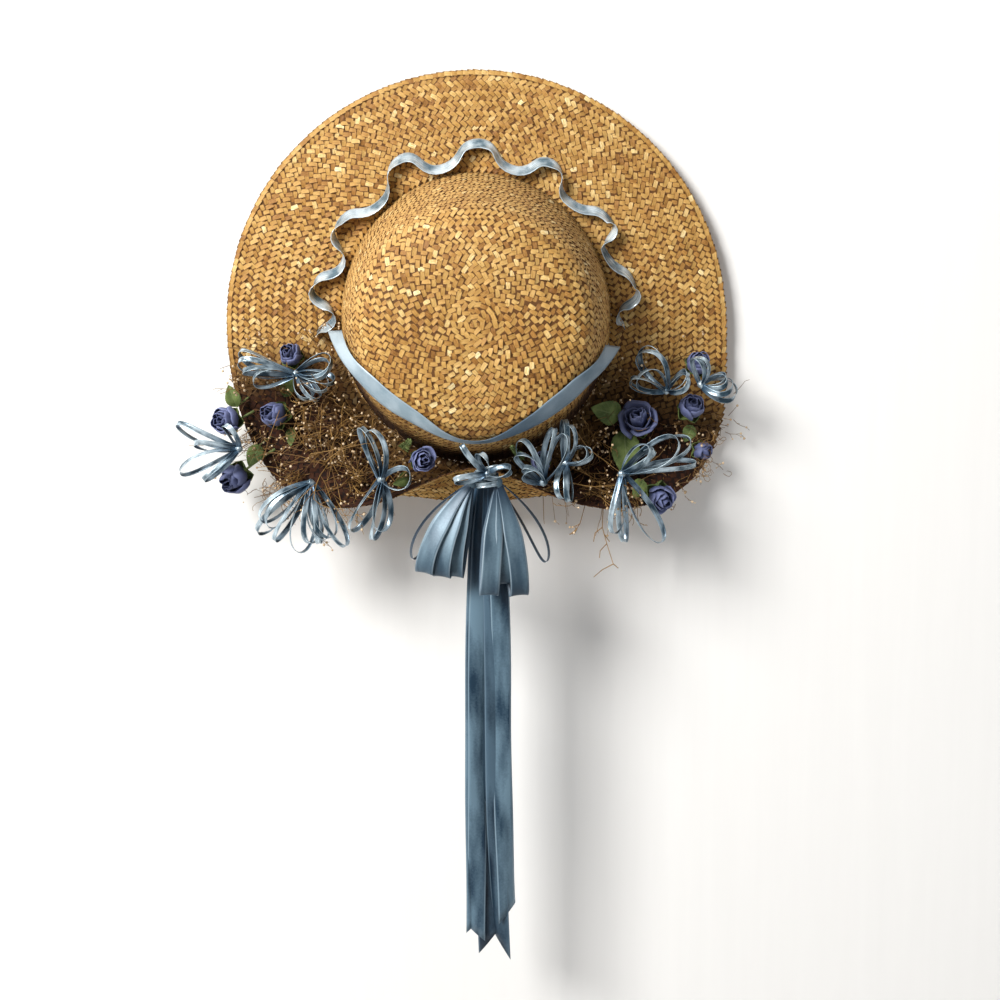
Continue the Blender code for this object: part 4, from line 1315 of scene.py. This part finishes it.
def make_loop_clusters(tree, stalk, silver, twig):
    """Clusters of narrow ribbon loops, each tied in a knot on a wire."""
    for number, row in enumerate(LOOP_CLUSTERS, 1):
        angle, reach, across, up, forward, loops = row
        picks = random.Random(310 + number)
        knot = place(across, up, forward)
        bands = []
        for index, (tip_across, tip_up, tip_forward, opening, turn) in enumerate(loops):
            tip = place(tip_across, tip_up, tip_forward)
            turn += 36 if number == 5 else 11
            bands.append(loop_band(knot, tip, opening, math.radians(turn), NARROW_SATIN, 1.0,
                                   0.0, 30, picks))
            if number in (2, 5) or (index % 2 and number in (4, 10)):
                continue
            swing = picks.choice((-1, 1)) * picks.uniform(0.1, 0.24)
            arm = (tip - knot) * picks.uniform(0.8, 0.98)
            second = knot + Vector((arm.x * math.cos(swing) - arm.z * math.sin(swing),
                                    min(arm.y, 0) - picks.uniform(1, 5) * MM,
                                    arm.x * math.sin(swing) + arm.z * math.cos(swing)))
            bands.append(loop_band(knot, second, opening * picks.uniform(0.95, 1.3),
                                   math.radians(picks.uniform(22, 55)), NARROW_SATIN, 1.0,
                                   0.0, 30, picks))
        piece = make_band(f"narrow_loops_{number}", bands, tree, silver, 0.12, 0.28, loop_dim)
        parts = [make_knot("tie", knot, (2.8, 2.4, 2.6), silver, 5.0)]
        if reach:
            foot, facing = brim_seat(angle, reach)
            line = [foot, foot + facing * 2 * MM, knot.lerp(foot, 0.5) + facing * MM, knot]
            parts.append(make_stem(line, 0.4, 6, stalk, twig))
        join(piece, parts)
        finish_piece(piece, "narrow_satin", f"ribbon_loops_{number}")


# Flowers

def brim_seat(angle, reach):
    """Where a stem stands on the plait, and which way the straw faces there."""
    turn = math.radians(angle)
    middle, out, along, facing = surface_frame(brim_point, turn, reach)
    return middle + facing * (STRAW_WALL / 2 + 0.2) * MM, facing


def make_stem(line, thick, sides, stalk, material):
    """A round stem along a line of points, as thick as its radius in millimetres."""
    mesh = point_mesh("stalk", line, line_edges([len(line)]), (), thick=[thick * MM] * len(line))
    return grow(new_object("stem", mesh), stalk, {"Sides": sides, "Material": material})


def petal(rows, columns, spot):
    """One petal: spot gives a place and its height and rim for shares across and up."""
    points, heights, rims = [], [], []
    for row in range(rows + 1):
        for column in range(columns + 1):
            position, height, rim = spot(column / columns * 2 - 1, row / rows)
            points.append(position)
            heights.append(height)
            rims.append(rim)
    return points, heights, rims


def make_roses(stalk, cloth, leaf):
    """Roses: rings of petals from a tight bud outward, a green cup and a stem."""
    for number, row in enumerate(ROSES, 1):
        angle, reach, across, up, forward, size, face_across, face_up, openness = row
        head = place(across, up, forward)
        axis = Vector((face_across, -1.0, face_up)).normalized()
        first = axis.cross(Vector((0, 0, 1))).normalized()
        second = axis.cross(first)
        picks = random.Random(500 + number)
        points, heights, rims, faces = [], [], [], []
        petals = [(0.0, 3.4, 0.1, 0.34, 0.0), (2.6, 2.0, 0.16, 0.39, 0.1)]
        petals += [(0.6 + 2.1 * index, 1.3, 0.235, 0.39 - 0.03 * index, 0.35) for index in range(3)]
        petals += [(1.5 + 2.1 * index, 1.3, 0.32, 0.34, 0.65) for index in range(3)]
        petals += [(0.3 + 1.57 * index, 1.05, 0.4, 0.27, 1.0) for index in range(4)]
        for start, spread, widest, high, layer in petals:
            start += picks.uniform(-0.45, 0.45)
            spread *= picks.uniform(0.85, 1.12)
            opened = openness * layer
            widest *= picks.uniform(0.86, 1.06)
            high += picks.uniform(-0.06, 0.05) - 0.12 * opened
            wave = picks.uniform(0, TAU)
            low = -0.44 + 0.03 * layer

            def spot(side, rise):
                opened_out = math.sin(math.pi / 2 * min(1, rise * 1.7))
                turn = start + side * spread * (0.45 + 0.55 * opened_out)
                top = max(0.0, rise - 0.5) / 0.5
                belly = math.sin(math.pi / 2 * min(1.0, rise * 1.6)) ** 0.8
                radius = 0.05 + (widest - 0.05) * belly
                radius *= 1 - (0.42 - 0.85 * opened) * top**2 * (1 if layer > 0.3 else 0.4)
                radius += 0.05 * side * layer - 0.05 * side * side * layer
                radius += (0.03 * math.sin(turn * 3 + wave) + 0.018 * math.sin(turn * 7 - wave)) * rise
                tall = low + (high - low) * rise * (1 - 0.32 * side**4 - 0.06 * side * side)
                tall -= 0.14 * opened * top**3
                outward = first * math.cos(turn) + second * math.sin(turn)
                position = head + (outward * radius + axis * tall) * size * MM
                return position, rise, max(rise, abs(side) ** 3 * rise)

            faces += grid_faces(PETAL_ROWS, PETAL_ROWS, len(points))
            made = petal(PETAL_ROWS, PETAL_ROWS, spot)
            points += made[0]
            # Outer, wider petals and open roses reach further towards pale violet: painted light.
            heights += [height * (0.3 + 0.7 * widest / 0.4) * (1 + openness * 1.6)
                        for height in made[1]]
            rims += [rim * (0.5 + 0.45 * layer + 0.3 * openness) for rim in made[2]]
        mesh = point_mesh("rose", points, (), faces, height=heights, rim=rims)
        mesh.materials.append(cloth)
        mesh.shade_smooth()
        item = new_object(f"cloth_rose_{number}", mesh)
        thicken(item, CLOTH_WALL)
        bake(item)
        foot, facing = brim_seat(angle, reach)
        calyx = head - axis * size * 0.44 * MM
        middle = (foot + calyx) / 2 + facing * 1.5 * MM
        line = [foot, foot.lerp(middle, 0.5) + facing * 0.7 * MM, middle, calyx,
                calyx + axis * size * 0.2 * MM]
        stem = make_stem(line, 0.9, 8, stalk, leaf)
        sepals = sepal_cup(head, axis, first, second, size, leaf)
        join(item, [stem, sepals])
        finish_piece(item, "rose_cloth", f"rose_{number}")


def sepal_cup(head, axis, first, second, size, leaf):
    """The green cup under a rose, with five short points."""
    points, faces, uvs = [], [], []
    sides, rows = 20, 6
    for row in range(rows + 1):
        rise = row / rows
        for index in range(sides):
            turn = TAU * index / sides
            tooth = 0.5 + 0.5 * math.cos(turn * 5)
            tall = -0.46 + rise * (0.12 + 0.2 * tooth)
            radius = 0.06 + 0.34 * math.sin(math.pi / 2 * min(1, rise * 1.1)) ** 0.9
            radius *= 0.85 + 0.15 * (1 - tooth * rise)
            outward = first * math.cos(turn) + second * math.sin(turn)
            points.append(head + (outward * radius + axis * tall) * size * MM)
            uvs.append((rise, math.sin(turn * 2.5)))
    for row in range(rows):
        for index in range(sides):
            other = (index + 1) % sides
            faces.append((row * sides + index, row * sides + other, (row + 1) * sides + other,
                          (row + 1) * sides + index))
    return cloth_mesh("sepals", points, faces, uvs, leaf, CLOTH_WALL, 1.0)


def blade_points(start, end, wide, through, rows, columns, toothed):
    """A leaf's blade, folded along its midrib and arched: its points and their UVs."""
    across = (end - start).normalized().cross(through).normalized()
    points, uvs = [], []
    for row in range(rows + 1):
        rise = row / rows
        bell = math.sin(math.pi * rise**0.8) ** 0.75 * (1 - 0.15 * rise)
        if toothed:
            bell *= 1 - 0.1 * ((rise * 11) % 1)
        arch = math.sin(math.pi * rise) * wide * 0.12
        for column in range(columns + 1):
            side = column / columns * 2 - 1
            fold = abs(side) * 0.1 * wide + math.sin(rise * 5 + side * 2) * 0.03 * wide
            spot = start.lerp(end, rise) + across * side * wide / 2 * max(0.02, bell) * MM
            points.append(spot + through * (fold * bell + arch - 0.05 * wide) * MM)
            uvs.append((rise, side))
    return points, uvs


def make_leaves(stalk, leaf):
    """Cloth leaves, and fern tips of many small blades, each on its stem."""
    for name, angle, reach, *rest in LEAVES:
        base, tip, width = place(*rest[0:3]), place(*rest[3:6]), rest[6]
        picks = random.Random(name)
        along = (tip - base).normalized()
        across = along.cross(Vector((0, -1, 0))).normalized()
        through = across.cross(along).normalized()
        fern = name.startswith("fern")

        def midrib(share):
            return base.lerp(tip, share) + through * math.sin(math.pi * share) * width * 0.12 * MM

        blades = [] if fern else [(base, tip, width)]
        for index in range(11 if fern else 0):
            share = 0.08 + 0.86 * index / 10
            for side in (-1, 1):
                lean = across * side * 0.8 + along * 0.6 + through * picks.uniform(-0.1, 0.3)
                root = midrib(share)
                blades.append((root, root + lean.normalized() * (width * (0.62 - 0.4 * share)) * MM, 1.7))
        rows, columns = (7, 2) if fern else (22, 8)
        points, faces, uvs = [], [], []
        for start, end, wide in blades:
            faces += grid_faces(rows, columns, len(points))
            made = blade_points(start, end, wide, through, rows, columns, not fern)
            points += made[0]
            uvs += made[1]
        item = cloth_mesh("cloth_" + name, points, faces, uvs, leaf, CLOTH_WALL)
        foot, facing = brim_seat(angle, reach)
        line = [foot, foot + facing * 1.5 * MM, base]
        if fern:
            line += [midrib(share) for share in (0.25, 0.5, 0.75, 0.97)]
        join(item, [make_stem(line, 0.55, 6, stalk, leaf)])
        finish_piece(item, "leaf_cloth", name)


def straw_samples():
    """Places and facings over the brim, by whole steps of the angle, to keep stalks off it."""
    def on_brim(angle, reach, lift=0.0):
        return brim_point(angle, max(0.0, reach), lift)

    table = []
    for step in range(SAMPLE_TURNS):
        angle = math.radians(step * 360 / SAMPLE_TURNS)
        width = brim_width(angle)
        row = []
        for share in range(25):
            middle, out, along, facing = surface_frame(on_brim, angle, width * share / 24)
            row.append((middle, facing))
        table.append(row)
    return table


def keep_clear(spot, table):
    """Move a point off the crown and onto the front of the brim, if it would go through them."""
    across, up, forward = spot.x / MM, spot.z / MM + PEG_UP - CROWN_RAISED, -spot.y / MM
    if spot.z / MM + PEG_UP < HANGS_FREE:
        return spot
    angle = math.atan2(across, -up)
    out = math.hypot(across, up)
    for low, high in zip(CROWN_PROFILE, CROWN_PROFILE[1:]):
        if low[0] <= forward <= high[0]:
            share = (forward - low[0]) / (high[0] - low[0])
            wide = low[1] + (high[1] - low[1]) * share
            long = low[2] + (high[2] - low[2]) * share
            crown = oval_radius(angle) * (wide * math.sin(angle)**2 + long * math.cos(angle)**2)
            crown += CROWN_CLEAR
            if out < crown:
                spot = spot + Vector((math.sin(angle), 0, -math.cos(angle))) * (crown - out) * MM
    row = table[round(math.degrees(angle) / (360 / SAMPLE_TURNS)) % SAMPLE_TURNS]
    near = min(range(len(row)), key=lambda index: (row[index][0] - spot).length_squared)
    middle, facing = row[near]
    off = (spot - middle).dot(facing) / MM
    if near < len(row) - 1 and off < BRIM_CLEAR:
        spot = spot + facing * (BRIM_CLEAR - off) * MM
    return Vector((spot.x, min(spot.y, WALL_CLEAR), spot.z))


def flower_zones():
    """Rose heads and leaves that only few twigs may cross: the middle and the radius of each."""
    zones = [(place(*rose[2:5]), rose[5] * 0.58) for rose in ROSES]
    for leaf in LEAVES[4:6]:
        for share in (0.3, 0.75):
            zones.append((place(*leaf[3:6]).lerp(place(*leaf[6:9]), share), leaf[9] * 0.55))
    return zones


def scatter(picks, spread):
    """A random step, spread alike in all directions."""
    return Vector([picks.gauss(0, spread) for axis in range(3)])


def grow_stalk(picks, start, aim, length, thick, level, lines, spots, sizes):
    """One stalk that bends a little and forks, with buds at its tips."""
    steps, clear, chance = (6, 2, 0.8) if level == 0 else (3, 0, 0.5)
    line = [start]
    spot = start
    bend = scatter(picks, 0.12)
    tone = picks.random()
    for step in range(steps):
        aim = (aim + bend + scatter(picks, 0.1)).normalized()
        spot = spot + aim * length / steps * MM
        line.append(spot)
        if level < 2 and step >= clear and picks.random() < chance:
            fork = (aim + scatter(picks, 0.55)).normalized()
            grow_stalk(picks, spot, fork, length * picks.uniform(0.22, 0.42), thick * 0.78,
                       level + 1, lines, spots, sizes)
    lines.append((line, thick, tone))
    if level > 0 and picks.random() < 0.28:
        spots.append(spot)
        sizes.append(picks.uniform(0.55, 1.1) * MM)


def sprig_stalks(picks, side, lines, spots, sizes):
    """The sprigs on one side of the hat, each a fan of forked stalks from its foot."""
    for angle, reach, across, up, forward, length, stalks in SPRIGS:
        if angle * side < 0:
            continue
        foot, facing = brim_seat(angle, reach)
        for number in range(round(stalks * (1.3 if side < 0 else 1.2))):
            aim = (Vector((across, -forward, up)).normalized() + scatter(picks, 0.5)).normalized()
            if aim.dot(facing) < 0.15:
                aim = (aim + facing * (0.3 - aim.dot(facing))).normalized()
            start = foot + Vector([picks.uniform(-5, 5) * MM for axis in range(3)])
            grow_stalk(picks, start, aim, length * picks.uniform(0.6, 1.1), 0.33, 0,
                       lines, spots, sizes)


def curled_stalks(picks, side):
    """Thin curled stalks that stand out at the edge of the brim."""
    lines = []
    for across, up, forward, spread, count in CURLS:
        if across * side < 0:
            continue
        for number in range(count):
            middle = place(across + picks.gauss(0, spread / 2), up + picks.gauss(0, spread / 2),
                           forward + picks.gauss(0, 4))
            size = picks.uniform(1.2, 3.6)
            phase, lean = picks.uniform(0, TAU), picks.uniform(-0.8, 0.8)
            stretch = Vector((picks.gauss(0, 0.6), 0, picks.gauss(0, 0.6))) * MM
            line = []
            for step in range(11):
                turn = step * 0.6
                out = Vector((math.cos(phase + turn), lean * math.sin(turn), math.sin(phase + turn)))
                wide = 1 + 0.4 * math.sin(step + phase)
                line.append(middle + out * size * wide * MM + stretch * step)
            lines.append((line, 0.26, picks.random()))
    return lines


def make_dried_flowers(stalk, bead, twig, bud):
    """Branched dry stalks with small cream buds, left and right of the bow."""
    picks = random.Random(77)
    table = straw_samples()
    zones = flower_zones()

    def hides(spot):
        return any(math.hypot(spot.x - middle.x, spot.z - middle.z) < radius * MM
                   for middle, radius in zones)

    for name, side in (("left", -1), ("right", 1)):
        lines, spots, sizes = [], [], []
        sprig_stalks(picks, side, lines, spots, sizes)
        lines = [line for line in lines if picks.random() < 0.1 or not any(map(hides, line[0]))]
        for ends in LONG_TWIGS:
            if ends[0] * side < 0:
                continue
            start, end = place(*ends[:3]), place(*ends[3:])
            grow_stalk(picks, start, (end - start).normalized(), (end - start).length / MM, 0.42, 0,
                       lines, spots, sizes)
        if side > 0:
            lines += [([place(*spot) for spot in line], 0.4, 0.6) for line in HANGING_TWIGS]
        lines += curled_stalks(picks, side)
        points, thicks, tones_and_shade = [], [], []
        for line, thick, tone in lines:
            for index, spot in enumerate(line):
                clear = keep_clear(spot, table)
                points.append(clear)
                thicks.append(thick * MM * (1 - 0.4 * index / len(line)))
                # Painted shade: twigs are darker near the straw and towards their foot, on top of their
                # own random tone.
                tones_and_shade.append(tone * ramp(-clear.y / MM, -4, 34) * (0.4 + 0.6 * index / len(line)))
        edges = line_edges(len(line[0]) for line in lines)
        mesh = point_mesh("twigs", points, edges, (), thick=thicks, tone=tones_and_shade)
        twigs = grow(new_object(f"dried_twigs_{name}", mesh), stalk, {"Sides": 3, "Material": twig})
        finish_piece(twigs, "dried_twig")
        kept = [(spot, size) for spot, size in zip(spots, sizes)
                if not hides(spot) or picks.random() < 0.06]
        mesh = point_mesh("buds", [keep_clear(spot, table) for spot, size in kept],
                          thick=[size for spot, size in kept])
        buds = grow(new_object(f"dried_buds_{name}", mesh), bead, {"Seed": 5, "Material": bud})
        finish_piece(buds, "dried_bud")


# Stage

def stage_flat(name, corners, material):
    """A flat piece of the room, given by its four corners."""
    mesh = bpy.data.meshes.new(name)
    mesh.from_pydata(corners, [], [(0, 1, 2, 3)])
    mesh.materials.append(material)
    new_object(name, mesh)


def make_stage():
    """The wall behind the hat and a pale floor."""
    stage_flat("wall", [(-3, WALL_BACK, FLOOR_UP), (3, WALL_BACK, FLOOR_UP), (3, WALL_BACK, WALL_TOP),
                        (-3, WALL_BACK, WALL_TOP)], wall_finish())
    material, net, shader = new_material("pale floor", {"Roughness": 0.6})
    cloud = net.noise(net.spot(), 3.0, 3.0)
    feed(net, shader, Base_Color=net.mix(cloud, (0.72, 0.71, 0.7), (0.8, 0.79, 0.78)))
    stage_flat("floor", [(-5, -6, FLOOR_UP), (5, -6, FLOOR_UP), (5, 5, FLOOR_UP), (-5, 5, FLOOR_UP)],
               material)


def add_light(name, spot, aim, size, power, colour):
    lamp = bpy.data.lights.new(name, "AREA")
    lamp.shape = "SQUARE"
    lamp.size = size
    lamp.energy = power
    lamp.color = colour
    item = new_object(name, lamp)
    item.location = spot
    item.rotation_euler = (Vector(aim) - Vector(spot)).to_track_quat("-Z", "Y").to_euler()


def make_lights():
    middle = (0, -0.03, -0.2)
    add_light("window", (-1.25, -1.45, 0.95), middle, 0.9, 80, (1.0, 0.985, 0.96))
    add_light("fill", (1.7, -1.9, 0.2), middle, 1.6, 5, (0.93, 0.96, 1.0))
    add_light("back", (0.6, 1.6, 0.9), middle, 1.4, 14, (1.0, 1.0, 1.0))
    world = bpy.data.worlds.new("pale room")
    bpy.context.scene.world = world
    world.use_nodes = True
    shade = world.node_tree.nodes["Background"]
    shade.inputs["Color"].default_value = (0.95, 0.97, 1.0, 1.0)
    shade.inputs["Strength"].default_value = 0.25


def make_camera():
    lens = bpy.data.cameras.new("camera")
    lens.lens = LENS
    lens.sensor_width = 36.0
    item = new_object("camera", lens)
    item.location = CAMERA_SPOT
    item.rotation_euler = (CAMERA_PITCH, 0, 0)
    bpy.context.scene.camera = item


def main():
    bpy.context.scene.view_settings.view_transform = "Standard"
    make_camera()
    wide, streamer, crown, wave, narrow = [satin_finish(*row) for row in SATINS]
    straw, rose, leaf = straw_finish(), rose_finish(), leaf_finish()
    twig = dry_finish("dried stalk", (0.065, 0.024, 0.006), (0.56, 0.32, 0.085))
    bud = dry_finish("dried bud", (0.36, 0.22, 0.1), (0.78, 0.62, 0.42))
    plait, band, stalk, bead = plait_tree(), band_tree(), stalk_tree(), bead_tree()
    make_straw(plait, straw)
    make_crown_ribbon(crown)
    make_wave_ribbon(band, wave)
    make_bow(band, wide, narrow)
    make_streamers(band, streamer)
    make_loop_clusters(band, stalk, narrow, twig)
    make_roses(stalk, rose, leaf)
    make_leaves(stalk, leaf)
    make_dried_flowers(stalk, bead, twig, bud)
    make_stage()
    make_lights()


main()
